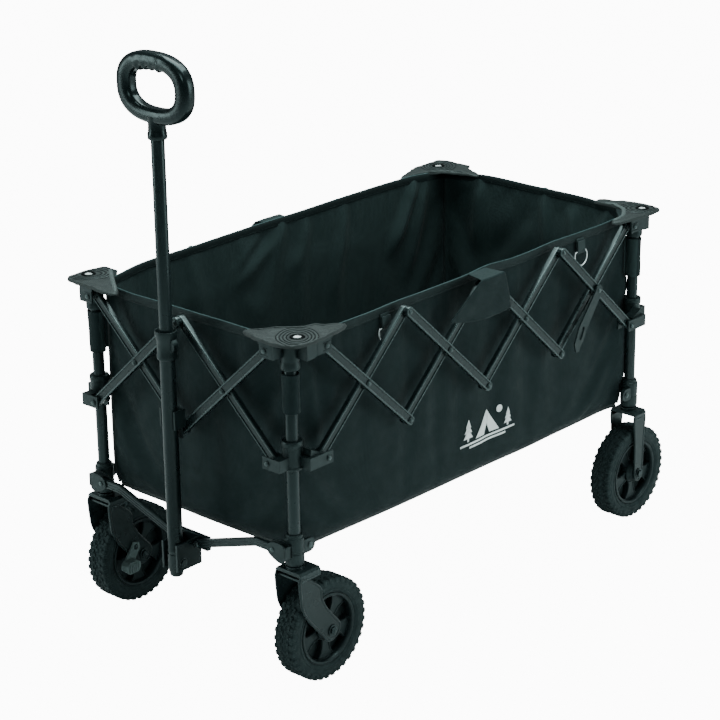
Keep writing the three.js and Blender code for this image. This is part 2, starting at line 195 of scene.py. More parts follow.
def cloth(name, c, yarn=0.0007, rough=0.72, sheen=0.12, var=0.14, strength=0.35, mottle=5, spec=0.3, crease=0.15, coating_and_painted_light=None, tint=0.66, top=None):
    """Coated polyester: a plain weave, small creases and slow mottling. Inside the basket it is paler and glossier,
    partly for its coating and partly as painted light on the shaded inside; with top set, upward faces are painted
    lighter as a painted highlight.
    """
    m, nt, b = material(name)
    v = coords(nt)
    base = mix_color(nt, remap(nt, noise_tex(nt, v, mottle, 4), 0, 1), tuple(x * (1 - var) for x in c), tuple(x * (1 + var) for x in c))
    k = 2 * math.pi / (20 * yarn)
    wx, wy, wz = (wave(nt, v, k, d) for d in ("X", "Y", "Z"))
    weave = maths(nt, "ADD", maths(nt, "ADD", wx, wy), wz)
    tone = remap(nt, weave, 0, 1, 0.6, 2.4)
    base = mix_color(nt, tone, base, tuple(x * 1.35 for x in c))
    gloss = remap(nt, noise_tex(nt, v, 30), rough - 0.05, rough + 0.07)
    # inside faces are painted paler and glossier: partly the coating, partly painted light for the shaded inside
    if coating_and_painted_light:
        g = nt.nodes.new("ShaderNodeNewGeometry")
        flat = node(nt, "ShaderNodeVectorMath")
        flat.operation = "MULTIPLY"
        nt.links.new(g.outputs["Position"], flat.inputs[0])
        flat.inputs[1].default_value = (1, 1, 0)
        dot = node(nt, "ShaderNodeVectorMath")
        dot.operation = "DOT_PRODUCT"
        nt.links.new(g.outputs["True Normal"], dot.inputs[0])
        nt.links.new(flat.outputs[0], dot.inputs[1])
        inner = remap(nt, dot.outputs["Value"], 1, 0, -0.02, 0.02)
        inside_lit_colour = (c[0] * coating_and_painted_light * 1.25, c[1] * coating_and_painted_light, c[2] * coating_and_painted_light * 0.93)
        base = mix_color(nt, inner, base, mix_color(nt, tone, inside_lit_colour, tuple(x * 1.35 for x in inside_lit_colour)))
        gloss = maths(nt, "SUBTRACT", gloss, maths(nt, "MULTIPLY", inner, 0.32))
    if top:
        # upward faces are painted lighter: a painted highlight on the tops
        up = node(nt, "ShaderNodeSeparateXYZ")
        nt.links.new(nt.nodes.new("ShaderNodeNewGeometry").outputs["True Normal"], up.inputs[0])
        base = mix_color(nt, remap(nt, up.outputs["Z"], 0, 1, 0.55, 0.92), base, tuple(x * top for x in c))
    nt.links.new(base, b.inputs["Base Color"])
    nt.links.new(gloss, b.inputs["Roughness"])
    n1 = bump(nt, b, noise_tex(nt, v, 38, 4, 0.6), crease, 0.002)
    bump(nt, b, weave, strength, 0.0002, n1)
    b.inputs["Sheen Weight"].default_value = sheen
    b.inputs["Sheen Roughness"].default_value = 0.45
    b.inputs["Specular IOR Level"].default_value = spec
    b.inputs["Specular Tint"].default_value = (tint, 1.0, 1.0, 1)
    return m


def metal(name, c, rough=0.3, metallic=1.0, scratch=700):
    m, nt, b = material(name)
    v = coords(nt)
    base = mix_color(nt, remap(nt, noise_tex(nt, v, 160), 0, 1), tuple(x * 0.8 for x in c), tuple(min(1, x * 1.15) for x in c))
    nt.links.new(base, b.inputs["Base Color"])
    b.inputs["Metallic"].default_value = metallic
    nt.links.new(remap(nt, noise_tex(nt, v, scratch), rough - 0.08, rough + 0.12), b.inputs["Roughness"])
    bump(nt, b, noise_tex(nt, v, scratch, 2), 0.08, 0.0002)
    return m


def rubber(name, c):
    m, nt, b = material(name)
    v = coords(nt)
    base = mix_color(nt, remap(nt, noise_tex(nt, v, 45, 5), 0, 1), tuple(x * 0.75 for x in c), tuple(x * 1.35 for x in c))
    nt.links.new(base, b.inputs["Base Color"])
    nt.links.new(remap(nt, noise_tex(nt, v, 120), 0.6, 0.8), b.inputs["Roughness"])
    n1 = bump(nt, b, noise_tex(nt, v, 260, 4), 0.25, 0.0006)
    bump(nt, b, noise_tex(nt, v, 1500, 2), 0.15, 0.0002, n1)
    b.inputs["Specular IOR Level"].default_value = 0.30
    b.inputs["Specular Tint"].default_value = (0.72, 1.0, 1.0, 1)
    return m


MAT = {
    "frame_paint": paint("frame_paint", (0.0038, 0.0076, 0.0080), 0.30, edge_wear_and_highlight=0.5, spec=0.28),
    "bar_paint": paint("bar_paint", (0.0034, 0.0070, 0.0074), 0.28, edge_wear_and_highlight=0, spec=0.28),
    # paler rim paint for the bars: a painted highlight
    "bar_rim_highlight": paint("bar_rim_highlight", (0.022, 0.034, 0.034), 0.26, edge_wear_and_highlight=0, spec=0.55),
    "moulded_plastic": moulded("moulded_plastic", (0.0045, 0.0085, 0.0088), 0.44),
    "basket_fabric": cloth("basket_fabric", (0.0036, 0.0074, 0.0079), sheen=0.03, spec=0.19, rough=0.72, coating_and_painted_light=3.1),
    "binding_fabric": cloth("binding_fabric", (0.0080, 0.0108, 0.0104), yarn=0.0012, rough=0.52, sheen=0.05, strength=0.5, spec=0.33, tint=0.86),
    # the rim tape's upward faces carry a painted highlight
    "rim_tape_painted_highlight": cloth("rim_tape_painted_highlight", (0.0038, 0.0074, 0.0076), yarn=0.0012, rough=0.56, sheen=0.03, strength=0.5, spec=0.2, tint=0.75, top=7),
    "hem_tape": cloth("hem_tape", (0.030, 0.041, 0.040), yarn=0.0012, rough=0.5, sheen=0.1, strength=0.5, spec=0.4, tint=0.9),
    "webbing": cloth("webbing", (0.0070, 0.0120, 0.0124), yarn=0.0018, rough=0.58, sheen=0.06, strength=0.7),
    "print": moulded("print", (0.80, 0.82, 0.81), 0.55, var=0.03),
    "tyre_rubber": rubber("tyre_rubber", (0.0052, 0.0094, 0.0098)),
    "rim_plastic": moulded("rim_plastic", (0.0040, 0.0074, 0.0080), 0.46, spec=0.26),
    "zinc_steel": metal("zinc_steel", (0.62, 0.65, 0.66), 0.26),
    "black_steel": metal("black_steel", (0.022, 0.034, 0.035), 0.34, 0.85),
    "rivet_steel": metal("rivet_steel", (0.060, 0.080, 0.080), 0.32, 0.9),
    "bright_wire": metal("bright_wire", (0.80, 0.84, 0.84), 0.42, 0.55),
    "pedal_plastic": moulded("pedal_plastic", (0.075, 0.100, 0.098), 0.45),
    "grip_plastic": moulded("grip_plastic", (0.0030, 0.0058, 0.0062), 0.24, 2600, 0.08, spec=0.24),
    "eyelet_black": moulded("eyelet_black", (0.0007, 0.0010, 0.0011), 0.35, spec=0.06),
    # a fill for openings that show only shade: painted shade
    "painted_shade_fill": moulded("painted_shade_fill", (0.0042, 0.0070, 0.0074), 0.6, spec=0.25),
}

# ------------------------------------------------------------------ mesh helpers


def P(v):
    a = np.asarray(v, float).reshape(-1, 3)
    return np.column_stack([(a[:, 0] + SHIFT) * 0.001, a[:, 1] * 0.001, a[:, 2] * 0.001])


class Geo:
    def __init__(self):
        self.v, self.f, self.m = [], [], []

    def add(self, v, f, m=0):
        n = len(self.v)
        self.v.extend(tuple(float(x) for x in p) for p in v)
        self.f.extend(tuple(int(i) + n for i in q) for q in f)
        self.m.extend([m] * len(f))
        return self


def lathe(g, prof, o, axis, seg=32, m=0, close=False, turn=0.0, squeeze=None):
    o, w = np.array(o, float), np.array(axis, float)
    w /= np.linalg.norm(w)
    a = np.array([0, 0, 1.0]) if abs(w[2]) < 0.9 else np.array([1.0, 0, 0])
    u = np.cross(a, w)
    u /= np.linalg.norm(u)
    q = np.cross(w, u)
    rows, verts, faces = [], [], []
    for r, h in prof:
        if r < 1e-6:
            rows.append([len(verts)])
            verts.append(o + w * h)
            continue
        ids = []
        for i in range(seg):
            t = 2 * math.pi * i / seg + turn
            rr = r * (squeeze(t, h) if squeeze else 1.0)
            ids.append(len(verts))
            verts.append(o + w * h + u * rr * math.cos(t) + q * rr * math.sin(t))
        rows.append(ids)
    n = len(rows)
    for k in range(n if close else n - 1):
        A, B = rows[k], rows[(k + 1) % n]
        for i in range(seg):
            j = (i + 1) % seg
            if len(A) == 1 and len(B) == 1:
                continue
            if len(A) == 1:
                faces.append((A[0], B[j], B[i]))
            elif len(B) == 1:
                faces.append((A[i], A[j], B[0]))
            else:
                faces.append((A[i], A[j], B[j], B[i]))
    return g.add(verts, faces, m)


def slab(g, outline, place, t0, t1, m=0, holes=()):
    """A flat outline (p, q) between depths t0 and t1; place(p, q, t) gives the point."""
    n = len(outline)
    v = [place(p, q, t0) for p, q in outline] + [place(p, q, t1) for p, q in outline]
    f = [tuple(range(n)), tuple(range(2 * n - 1, n - 1, -1))]
    f += [(i, (i + 1) % n, (i + 1) % n + n, i + n) for i in range(n)]
    return g.add(v, f, m)


def block(g, a, b, m=0):
    x0, y0, z0 = (min(p, q) for p, q in zip(a, b))
    x1, y1, z1 = (max(p, q) for p, q in zip(a, b))
    return slab(g, [(x0, y0), (x1, y0), (x1, y1), (x0, y1)], lambda p, q, t: (p, q, t), z0, z1, m)


def stadium(p0, p1, r, n=8):
    d = math.atan2(p1[1] - p0[1], p1[0] - p0[0])
    out = []
    for c, base in ((p1, d - math.pi / 2), (p0, d + math.pi / 2)):
        for i in range(n + 1):
            t = base + math.pi * i / n
            out.append((c[0] + r * math.cos(t), c[1] + r * math.sin(t)))
    return out


def inset(poly, d):
    p = np.array(poly, float)
    area = 0.5 * np.sum(p[:, 0] * np.roll(p[:, 1], -1) - np.roll(p[:, 0], -1) * p[:, 1])
    s = 1 if area > 0 else -1
    out = []
    for i in range(len(p)):
        a, b, c = p[i - 1], p[i], p[(i + 1) % len(p)]
        e1, e2 = (b - a) / np.linalg.norm(b - a), (c - b) / np.linalg.norm(c - b)
        n1, n2 = s * np.array([-e1[1], e1[0]]), s * np.array([-e2[1], e2[0]])
        k = n1 + n2
        k /= max(0.35, k @ n1)
        out.append(tuple(b + d * k))
    return out


def tube(g, pts, r, seg=10, closed=False, m=0):
    p = np.array(pts, float)
    n = len(p)
    tang = np.array([(p[(i + 1) % n] - p[i - 1]) if closed or 0 < i < n - 1 else (p[1] - p[0] if i == 0 else p[-1] - p[-2]) for i in range(n)])
    tang /= np.linalg.norm(tang, axis=1)[:, None]
    ref = np.array([0, 0, 1.0]) if abs(tang[0][2]) < 0.9 else np.array([1.0, 0, 0])
    u = np.cross(tang[0], ref)
    u /= np.linalg.norm(u)
    rows, verts, faces = [], [], []
    for i in range(n):
        u = u - (u @ tang[i]) * tang[i]
        u /= np.linalg.norm(u)
        w = np.cross(tang[i], u)
        rr = r[i] if hasattr(r, "__len__") else r
        rows.append(list(range(len(verts), len(verts) + seg)))
        verts += [p[i] + rr * (u * math.cos(2 * math.pi * k / seg) + w * math.sin(2 * math.pi * k / seg)) for k in range(seg)]
    for i in range(n if closed else n - 1):
        A, B = rows[i], rows[(i + 1) % n]
        faces += [(A[k], A[(k + 1) % seg], B[(k + 1) % seg], B[k]) for k in range(seg)]
    if not closed:
        faces += [tuple(rows[0]), tuple(reversed(rows[-1]))]
    return g.add(verts, faces, m)


def sweep(g, pts, section, up=(0, 0, 1), m=0, closed=False):
    """A section (side, up) carried along a path that keeps its up direction."""
    p, up = np.array(pts, float), np.array(up, float)
    n, k = len(p), len(section)
    verts, faces = [], []
    for i in range(n):
        if closed:
            t = p[(i + 1) % n] - p[i - 1]
        else:
            t = p[min(i + 1, n - 1)] - p[max(i - 1, 0)]
        side = np.cross(t, up)
        side /= np.linalg.norm(side)
        verts += [p[i] + side * a + up * b for a, b in section]
    for i in range(n if closed else n - 1):
        a0, b0 = i * k, ((i + 1) % n) * k
        faces += [(a0 + j, a0 + (j + 1) % k, b0 + (j + 1) % k, b0 + j) for j in range(k)]
    if not closed:
        faces += [tuple(range(k)), tuple(range(n * k - 1, (n - 1) * k - 1, -1))]
    return g.add(verts, faces, m)


def dome(g, o, axis, r, h, m=0, seg=20, skirt=0.4):
    prof = [(r, -0.3), (r, skirt)] + [(r * math.cos(t), skirt + (h - skirt) * math.sin(t)) for t in np.linspace(0.25, 1.3, 5)] + [(0, h)]
    return lathe(g, [(0, -0.3)] + prof, o, axis, seg, m)


def smooth_loop(pts, n=3):
    p = np.array(pts, float)
    out = []
    for i in range(len(p)):
        p0, p1, p2, p3 = p[i - 1], p[i], p[(i + 1) % len(p)], p[(i + 2) % len(p)]
        for k in range(n):
            t = k / n
            out.append(tuple(0.5 * (2 * p1 + (p2 - p0) * t + (2 * p0 - 5 * p1 + 4 * p2 - p3) * t * t + (3 * p1 - p0 - 3 * p2 + p3) * t**3)))
    return out


def make(name, g, body, mats, replaces=(), slot=None, bevel=0.0, seg=2, ang=32, sub=0, sharp=38, solid=0.0, weld=0.0, place=True):
    me = bpy.data.meshes.new(name)
    me.from_pydata((P(g.v) if place else np.array(g.v)).tolist(), [], g.f)
    for x in mats:
        me.materials.append(MAT[x])
    me.polygons.foreach_set("material_index", g.m)
    bm = bmesh.new()
    bm.from_mesh(me)
    if weld:
        bmesh.ops.remove_doubles(bm, verts=bm.verts, dist=weld)
    if not solid:
        bmesh.ops.recalc_face_normals(bm, faces=bm.faces)
    bm.to_mesh(me)
    bm.free()
    me.polygons.foreach_set("use_smooth", [True] * len(me.polygons))
    me.set_sharp_from_angle(angle=math.radians(sharp))
    o = bpy.data.objects.new(name, me)
    scene.collection.objects.link(o)
    if sub:
        s = o.modifiers.new("smooth", "SUBSURF")
        s.levels = s.render_levels = sub
    if solid:
        s = o.modifiers.new("thickness", "SOLIDIFY")
        s.thickness, s.offset = solid / 1000, 0
    if bevel:
        s = o.modifiers.new("edges", "BEVEL")
        s.width, s.segments, s.limit_method, s.angle_limit = bevel / 1000, seg, "ANGLE", math.radians(ang)
        s.harden_normals = True
    if body:
        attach(o, body)
    if replaces:
        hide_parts(*replaces)
    return o


def body_of_node(n):
    return frame["nodes"][n]["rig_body"]


def shape_of(n, geo=None, m=0):
    """The CAD node's solid with its flat faces whole again, in millimetres from the basket's middle."""
    bm = bmesh.new()
    bm.from_mesh(frame["nodes"][n].data)
    bmesh.ops.remove_doubles(bm, verts=bm.verts, dist=1e-5)
    bmesh.ops.dissolve_limit(bm, angle_limit=math.radians(1.0), verts=bm.verts, edges=bm.edges)
    g = geo or Geo()
    bm.verts.index_update()
    v = [(x.co.x * 1000 - SHIFT, x.co.y * 1000, x.co.z * 1000) for x in bm.verts]
    f = [[x.index for x in q.verts] for q in bm.faces]
    bm.free()
    return g.add(v, f, m)


def finish_node(n, mats, slot, bevel=1.0, extra=None, **kw):
    g = shape_of(n)
    if extra:
        extra(g)
    return make(n + "_skin", g, body_of_node(n), mats, (n,), slot, bevel, **kw)


# ------------------------------------------------------------------ measures

PX, PY = 455.0, 226.0
W, TZ, LZ = 204.0, 590.0, 401.0
EX, EY = 408.0, 204.0
CORNERS = (("front_left", 1, 1), ("front_right", 1, -1), ("rear_left", -1, 1), ("rear_right", -1, -1))
IN, OUT = (12.5, 21.5), (22.5, 31.5)

# ------------------------------------------------------------------ scissor bars


def side_place(side):
    s = 1 if side in ("left", "front") else -1
    if side in ("left", "right"):
        return lambda u, z, t: (u, s * (PY + t), z), (0, s, 0)
    return lambda u, z, t: (s * (PX + t), u, z), (s, 0, 0)


def bar_section(g, p0, p1, place, t0, t1, edge):
    """A pressed channel with rounded rims and a flat trough down its outer face."""
    # the edge argument is the material slot of the rims' painted highlight
    outer = stadium(p0, p1, 8.5, 8)
    rings = [(outer, t0), (outer, t1 - 1.9), (inset(outer, 0.5), t1 - 0.7), (inset(outer, 1.3), t1 - 0.1), (inset(outer, 2.2), t1), (inset(outer, 3.0), t1 - 0.3), (stadium(p0, p1, 4.9, 8), t1 - 1.7)]
    n = len(outer)
    v, f = [], []
    for poly, t in rings:
        v += [place(p, q, t) for p, q in poly]
    for k in range(len(rings) - 1):
        f += [(k * n + i, k * n + (i + 1) % n, (k + 1) * n + (i + 1) % n, (k + 1) * n + i) for i in range(n)]
    f += [tuple(range((len(rings) - 1) * n, len(rings) * n)), tuple(range(n - 1, -1, -1))]
    g.add(v, f)
    # the rolled rims take a paler paint than the faces: a painted highlight along the edges
    for k in range(1, 5):
        for i in range(n):
            g.m[len(g.m) - len(f) + k * n + i] = edge


for side, count, start in (("left", 4, EX), ("right", 4, EX), ("front", 2, EY), ("rear", 2, EY)):
    place, nrm = side_place(side)
    nrm = np.array(nrm, float)
    T = lambda k: (start - k * W, TZ)
    L = lambda k: (start - k * W, LZ)
    for k in range(1, count + 1):
        mid = (start - (k - 0.5) * W, (TZ + LZ) / 2)
        g = Geo()
        bar_section(g, T(k - 1), L(k), place, *OUT, 3)
        spots = [mid] + ([L(k)] if k < count else []) + ([T(k - 1)] if k > 1 else [])
        for q in spots:
            lathe(g, [(0, -1.9), (6.0, -1.9), (6.0, -0.4), (5.4, 0), (0, 0)], place(*q, OUT[1]), nrm, 24, 1)
            dome(g, place(*q, OUT[1] - 0.1), nrm, 3.3, 2.3, 2)
            lathe(g, [(3.3, 0.0), (4.1, 0.0), (3.9, 0.6), (3.3, 0.7)], place(*q, OUT[1]), nrm, 24, 1, close=True)
        make(f"{side}_outer_bar_{k}_skin", g, f"{side}_outer_bar_{k}", ("bar_paint", "moulded_plastic", "rivet_steel", "bar_rim_highlight"), (f"{side}_outer_bar_{k}",), "frame_paint", 0, sharp=30)
        g = Geo()
        bar_section(g, L(k - 1), T(k), place, *IN, 2)
        for q, r in ((mid, 9.5), (T(k), 8.0), (L(k - 1), 8.0)):
            lathe(g, [(0, -0.6), (r, -0.6), (r, 0.95), (0, 0.95)], place(*q, IN[1]), nrm, 24, 1)
        make(f"{side}_inner_bar_{k}_skin", g, f"{side}_inner_bar_{k}", ("bar_paint", "moulded_plastic", "bar_rim_highlight"), (f"{side}_inner_bar_{k}",), "frame_paint", 0, sharp=30)

# ------------------------------------------------------------------ posts, connectors, sliders

for name, sx, sy in CORNERS:
    c = (sx * PX, sy * PY)
    X = lambda a: sx * (PX + a)
    Y = lambda b: sy * (PY + b)
    g = Geo()
    o = (c[0], c[1], 0)
    # tube with a rolled top, then the ribbed bottom socket
    lathe(g, [(8.2, 268), (8.2, 599), (8.9, 600), (9.6, 599.6), (10, 598.8), (10, 268)], o, (0, 0, 1), 40, 0, close=True)
    sock = [(9.9, 276), (12.4, 276), (13.6, 274.8), (13.9, 271), (15.7, 269.5), (16.0, 266), (16.0, 247), (15.1, 246), (15.1, 243.5), (16.0, 242.5),
            (16.0, 227), (15.0, 223), (13.2, 222.2), (0, 222.2), (0, 270), (9.9, 270)]
    lathe(g, sock[:-3] + [(0, 222.2)], o, (0, 0, 1), 40, 1)
    slab(g, stadium((X(-24), 251), (X(-14), 251), 12, 8), lambda p, q, t: (p, Y(t), q), 5, 12, 1)
    lathe(g, [(0, 0), (5.6, 0), (5.6, 1.6), (0, 1.6)], (X(-24), Y(12), 251), (0, sy, 0), 6, 2)
    dome(g, (X(-24), Y(13.4), 251), (0, sy, 0), 3.2, 1.6, 2, 16)
    if sx > 0:
        pl = lambda p, q, t: (t, q, p)
        for a0, a1, b0, b1 in ((4, 18, -11, 8), (14.8, 18, -32, -10.5)):
            block(g, (X(a0), Y(b0), 239), (X(a1), Y(b1), 261), 1)
        block(g, (X(14.8), Y(4.5), 239), (X(29.2), Y(8), 261), 1)
        ear = smooth_loop([(-33, 252), (-30, 259), (-22, 263.5), (-8, 265), (2, 262), (6, 252), (5, 238), (-2, 231), (-14, 233), (-28, 240), (-33, 246)], 3)
        slab(g, [(Y(b), z) for b, z in ear], lambda p, q, t: (t, p, q), X(26), X(29.2), 1)
        slab(g, [(Y(b), z) for b, z in ear], lambda p, q, t: (t, p, q), X(14.8), X(17.6), 1)
        dome(g, (X(29.2), Y(-22), 250), (sx, 0, 0), 4.4, 2.4, 2)
    make(f"{name}_post_skin", g, body_of_node(f"{name}_post"), ("frame_paint", "moulded_plastic", "rivet_steel"), (f"{name}_post",), "frame_paint", 0.8)

    # the moulded connector and slider, with ribs and rivet heads
    def connector_extra(g, X=X, Y=Y, c=c):
        lathe(g, [(10.3, 556), (14.2, 556), (15.6, 558), (15.8, 566), (15.2, 567.4), (15.2, 570), (10.3, 570)], (c[0], c[1], 0), (0, 0, 1), 36, 0, close=True)
        for z in (583, 596):
            tube(g, [(X(-55), Y(35.6), z), (X(-39), Y(35.6), z)], 0.9, 8, m=0)
            tube(g, [(X(35.6), Y(-30), z), (X(35.6), Y(-14), z)], 0.9, 8, m=0)
        slab(g, [(X(-34), 582), (X(-18), 577), (X(-2), 576), (X(-2), 602), (X(-34), 602)], lambda p, q, t: (p, Y(t), q), 13, 35.2, 0)
        dome(g, (X(-47), Y(36.6), TZ), (0, sy, 0), 3.8, 2.2, 1)
        dome(g, (X(36.6), Y(-22), TZ), (sx, 0, 0), 3.8, 2.2, 1)

    def slider_extra(g, X=X, Y=Y, c=c):
        lathe(g, [(10.6, 426), (16.2, 426), (16.9, 427.2), (16.9, 435.6), (16.2, 437), (10.6, 437)], (c[0], c[1], 0), (0, 0, 1), 36, 0, close=True)
        lathe(g, [(10.6, 389), (16.0, 389), (16.6, 390), (16.6, 393.5), (16.0, 394.5), (10.6, 394.5)], (c[0], c[1], 0), (0, 0, 1), 36, 0, close=True)
        slab(g, [(X(-34), 412), (X(-12), 424), (X(-10), 412)], lambda p, q, t: (p, Y(t), q), 12, 30, 0)
        dome(g, (X(-47), Y(36.6), LZ), (0, sy, 0), 3.8, 2.2, 1)
        dome(g, (X(36.6), Y(-22), LZ), (sx, 0, 0), 3.8, 2.2, 1)

    finish_node(f"{name}_top_connector", ("moulded_plastic", "rivet_steel"), "moulded_plastic", 1.3, connector_extra)
    finish_node(f"{name}_slider", ("moulded_plastic", "rivet_steel"), "moulded_plastic", 1.3, slider_extra)

# ------------------------------------------------------------------ forks, brakes, wheels

LEG_FRONT = [(16, 211), (17, 168), (11, 143), (-6, 118), (-30, 90), (-40, 76), (-52, 71), (-66, 75), (-75, 86), (-75, 99), (-62, 115), (-46, 135), (-34, 158), (-30, 180), (-30, 211)]
LEG_REAR = [(17, 211), (15, 160), (13, 88), (8, 78), (0, 74), (-8, 78), (-13, 88), (-15, 160), (-17, 211)]


for name, sx, sy in CORNERS:
    X = lambda a: sx * (PX + a)
    Y = lambda b: sy * (PY + b)
    front = sx > 0
    axle = -56 if front else 0
    leg = smooth_loop(LEG_FRONT[:-1], 3) if front else smooth_loop(LEG_REAR, 3)
    leg = [(a, min(z, 212.5)) for a, z in leg]
    ca = (-30, 16) if front else (-17, 17)
    g = Geo()
    xz = lambda p, q, t: (X(p), Y(t), q)
    for s in (1, -1):
        slab(g, leg, xz, s * 25, s * 27.6)
        rim, flat = inset(leg, 1.6), inset(leg, 4.6)
        n = len(leg)
        v = [xz(p, q, s * 27.6) for p, q in leg] + [xz(p, q, s * 28.7) for p, q in rim] + [xz(p, q, s * 28.7) for p, q in inset(leg, 3.4)] + [xz(p, q, s * 27.7) for p, q in flat]
        f = []
        for k in range(3):
            f += [(k * n + i, k * n + (i + 1) % n, (k + 1) * n + (i + 1) % n, (k + 1) * n + i) for i in range(n)]
        f += [tuple(range(3 * n, 4 * n)), tuple(range(n - 1, -1, -1))]
        g.add(v, f)
    # crown: a pressed cap that wraps over both legs, with a collar and a swivel race
    wide = [(-28.3, 200), (-28.3, 211), (-24.5, 215.6), (24.5, 215.6), (28.3, 211), (28.3, 200), (25, 200), (25, 209), (-25, 209), (-25, 200)]
    slab(g, wide, lambda p, q, t: (X(t), Y(p), q), ca[0] - 0.4, ca[1] + 0.4)
    lathe(g, [(0, 213), (15.2, 213), (15.2, 217), (14, 217.6), (14, 218.4), (15.4, 219), (15.4, 220.6), (13, 221.6), (0, 221.6)], (X(0), Y(0), 0), (0, 0, 1), 36, 0)
    for s in (1, -1):
        tube(g, [(X(ca[0] + 3), Y(s * 28.0), 203), (X(ca[1] - 3), Y(s * 28.0), 203)], 1.2, 8)
    if front:
        block(g, (X(-28), Y(-24.9), 200), (X(14), Y(24.9), 203.5))
    fork_mats = ("frame_paint", "black_steel", "moulded_plastic")
    if not front:
        for s in (1, -1):
            lathe(g, [(0, 0), (9.5, 0), (9.5, 1.2), (0, 1.2)], (X(axle), Y(s * 28.4), 90), (0, s * sy, 0), 28, 1)
            lathe(g, [(0, 0), (7, 0), (7, 2.4), (6.2, 3.2), (0, 3.2)], (X(axle), Y(s * 29.4), 90), (0, s * sy, 0), 6, 1)
        lathe(g, [(0, -30), (4, -30), (4, 30), (0, 30)], (X(axle), Y(0), 90), (0, 1, 0), 20, 1)
    else:
        lathe(g, [(0, -28.8), (6.4, -28.8), (6.4, -30.6), (5.6, -31.2), (0, -31.2)], (X(-34), Y(0), 112), (0, sy, 0), 24, 1)
    make(f"{name}_fork_skin", g, body_of_node(f"{name}_fork"), fork_mats, (f"{name}_fork",), "frame_paint", 0.9)
    if front:
        g = Geo()
        lathe(g, [(0, -28.6), (4, -28.6), (4, 28.6), (0, 28.6)], (X(axle), Y(0), 90), (0, 1, 0), 20, 0)
        for s in (1, -1):
            lathe(g, [(0, 0), (10, 0), (10, 1.0), (9.4, 1.4), (0, 1.4)], (X(axle), Y(s * 28.7), 90), (0, s * sy, 0), 32, 0)
            lathe(g, [(0, 0), (7.2, 0), (7.2, 2.2), (6.4, 3.0), (0, 3.0)], (X(axle), Y(s * 30.0), 90), (0, s * sy, 0), 6, 0, turn=0.3)
            dome(g, (X(axle), Y(s * 32.6), 90), (0, s * sy, 0), 3.4, 1.2, 0, 16)
        make(f"{name}_axle_skin", g, body_of_node(f"{name}_axle"), ("black_steel",), (f"{name}_axle",), "black_steel", 0.5)

        def pedal_extra(g, X=X, Y=Y):
            for i in range(6):
                a = -27 + i * 4.9
                block(g, (X(a), Y(-46.5), 75.5), (X(a + 2.4), Y(-48.3), 91), 0)
            dome(g, (X(-34), Y(-33), 112), (0, -sy, 0), 5.4, 2.8, 1)

        finish_node(f"{name}_brake_pedal", ("pedal_plastic", "black_steel"), "pedal_plastic", 1.4, pedal_extra)

    # tyre: rounded carcass with staggered tread blocks and a smooth sidewall ring
    half = [(61.5, 15.5), (62.6, 18.4), (65, 20.2), (67.6, 20.9), (68.4, 21.7), (69.6, 21.7), (70.4, 21.0), (74, 21.3), (78, 21.4), (79.2, 21.0), (80.2, 20.7), (82.4, 20.5), (84.4, 20.2), (86.0, 19.6), (87.2, 18.2), (87.2, 17.0),
            (87.3, 13.4), (87.3, 12.4), (87.3, 11.4), (87.3, 7.4), (87.3, 6.6), (87.3, 5.2), (87.3, 2.2), (87.3, 1.2)]
    section = [(r, -h) for r, h in half] + [(r, h) for r, h in reversed(half)] + [(60.5, 0)]
    seg = 384
    count = 38
    verts, faces = [], []
    for k, (r, h) in enumerate(section):
        side_h = 1 if h > 0 else -1
        for i in range(seg):
            t = 2 * math.pi * i / seg
            ph = i / seg * count
            a = abs(h)
            if r < 80:
                dr, dh = 0.0, 0.0
            elif a > 17.5:  # shoulder blocks, which also stand out of the sidewall
                on = 0.14 < (ph + (0.5 if side_h > 0 else 0)) % 1 < 0.64
                dr, dh = (1.9 if r > 85 else 0.5, 0.9) if on else (0.0, 0.0)
            elif a > 12.6:
                on = 0.14 < (ph + (0.5 if side_h > 0 else 0)) % 1 < 0.64
                dr, dh = 2.2 if on else 0.0, 0.0
            elif a > 11.6:
                dr, dh = 0.0, 0.0
            elif a > 6.0:
                on = 0.1 < (ph + (0.0 if side_h > 0 else 0.5) + 0.03 * a) % 1 < 0.66
                dr, dh = 2.2 if on else 0.0, 0.0
            elif a > 5.0:
                dr, dh = 0.0, 0.0
            elif a > 1.5:
                on = 0.1 < (ph + (0.5 if side_h > 0 else 0.0) + 0.04 * a) % 1 < 0.7
                dr, dh = 2.2 if on else 0.0, 0.0
            else:
                dr, dh = 0.3, 0.0
            verts.append((X(axle) + (r + dr) * math.cos(t), Y(0) + h + math.copysign(dh, h), 90 + (r + dr) * math.sin(t)))
    for k in range(len(section)):
        for i in range(seg):
            j = (i + 1) % seg
            m = (k + 1) % len(section)
            faces.append((k * seg + i, k * seg + j, m * seg + j, m * seg + i))
    g = Geo().add(verts, faces, 0)
    # rim: rolled ring, five broad spokes with raised edges, hub with a cap
    lathe(g, [(62.2, -15), (61.8, -19.4), (60, -20.2), (57.2, -19.6), (55.6, -17.5), (55.2, -14), (55.2, 14), (55.6, 17.5), (57.2, 19.6), (60, 20.2), (61.8, 19.4), (62.2, 15)], (X(axle), Y(0), 90), (0, 1, 0), 72, 1, close=True)
    lathe(g, [(0, -23.4), (13.5, -23.4), (15, -22.6), (17, -19), (21, -15), (22, -9), (22, 9), (21, 15), (17, 19), (15, 22.6), (13.5, 23.4), (0, 23.4)], (X(axle), Y(0), 90), (0, 1, 0), 40, 1)
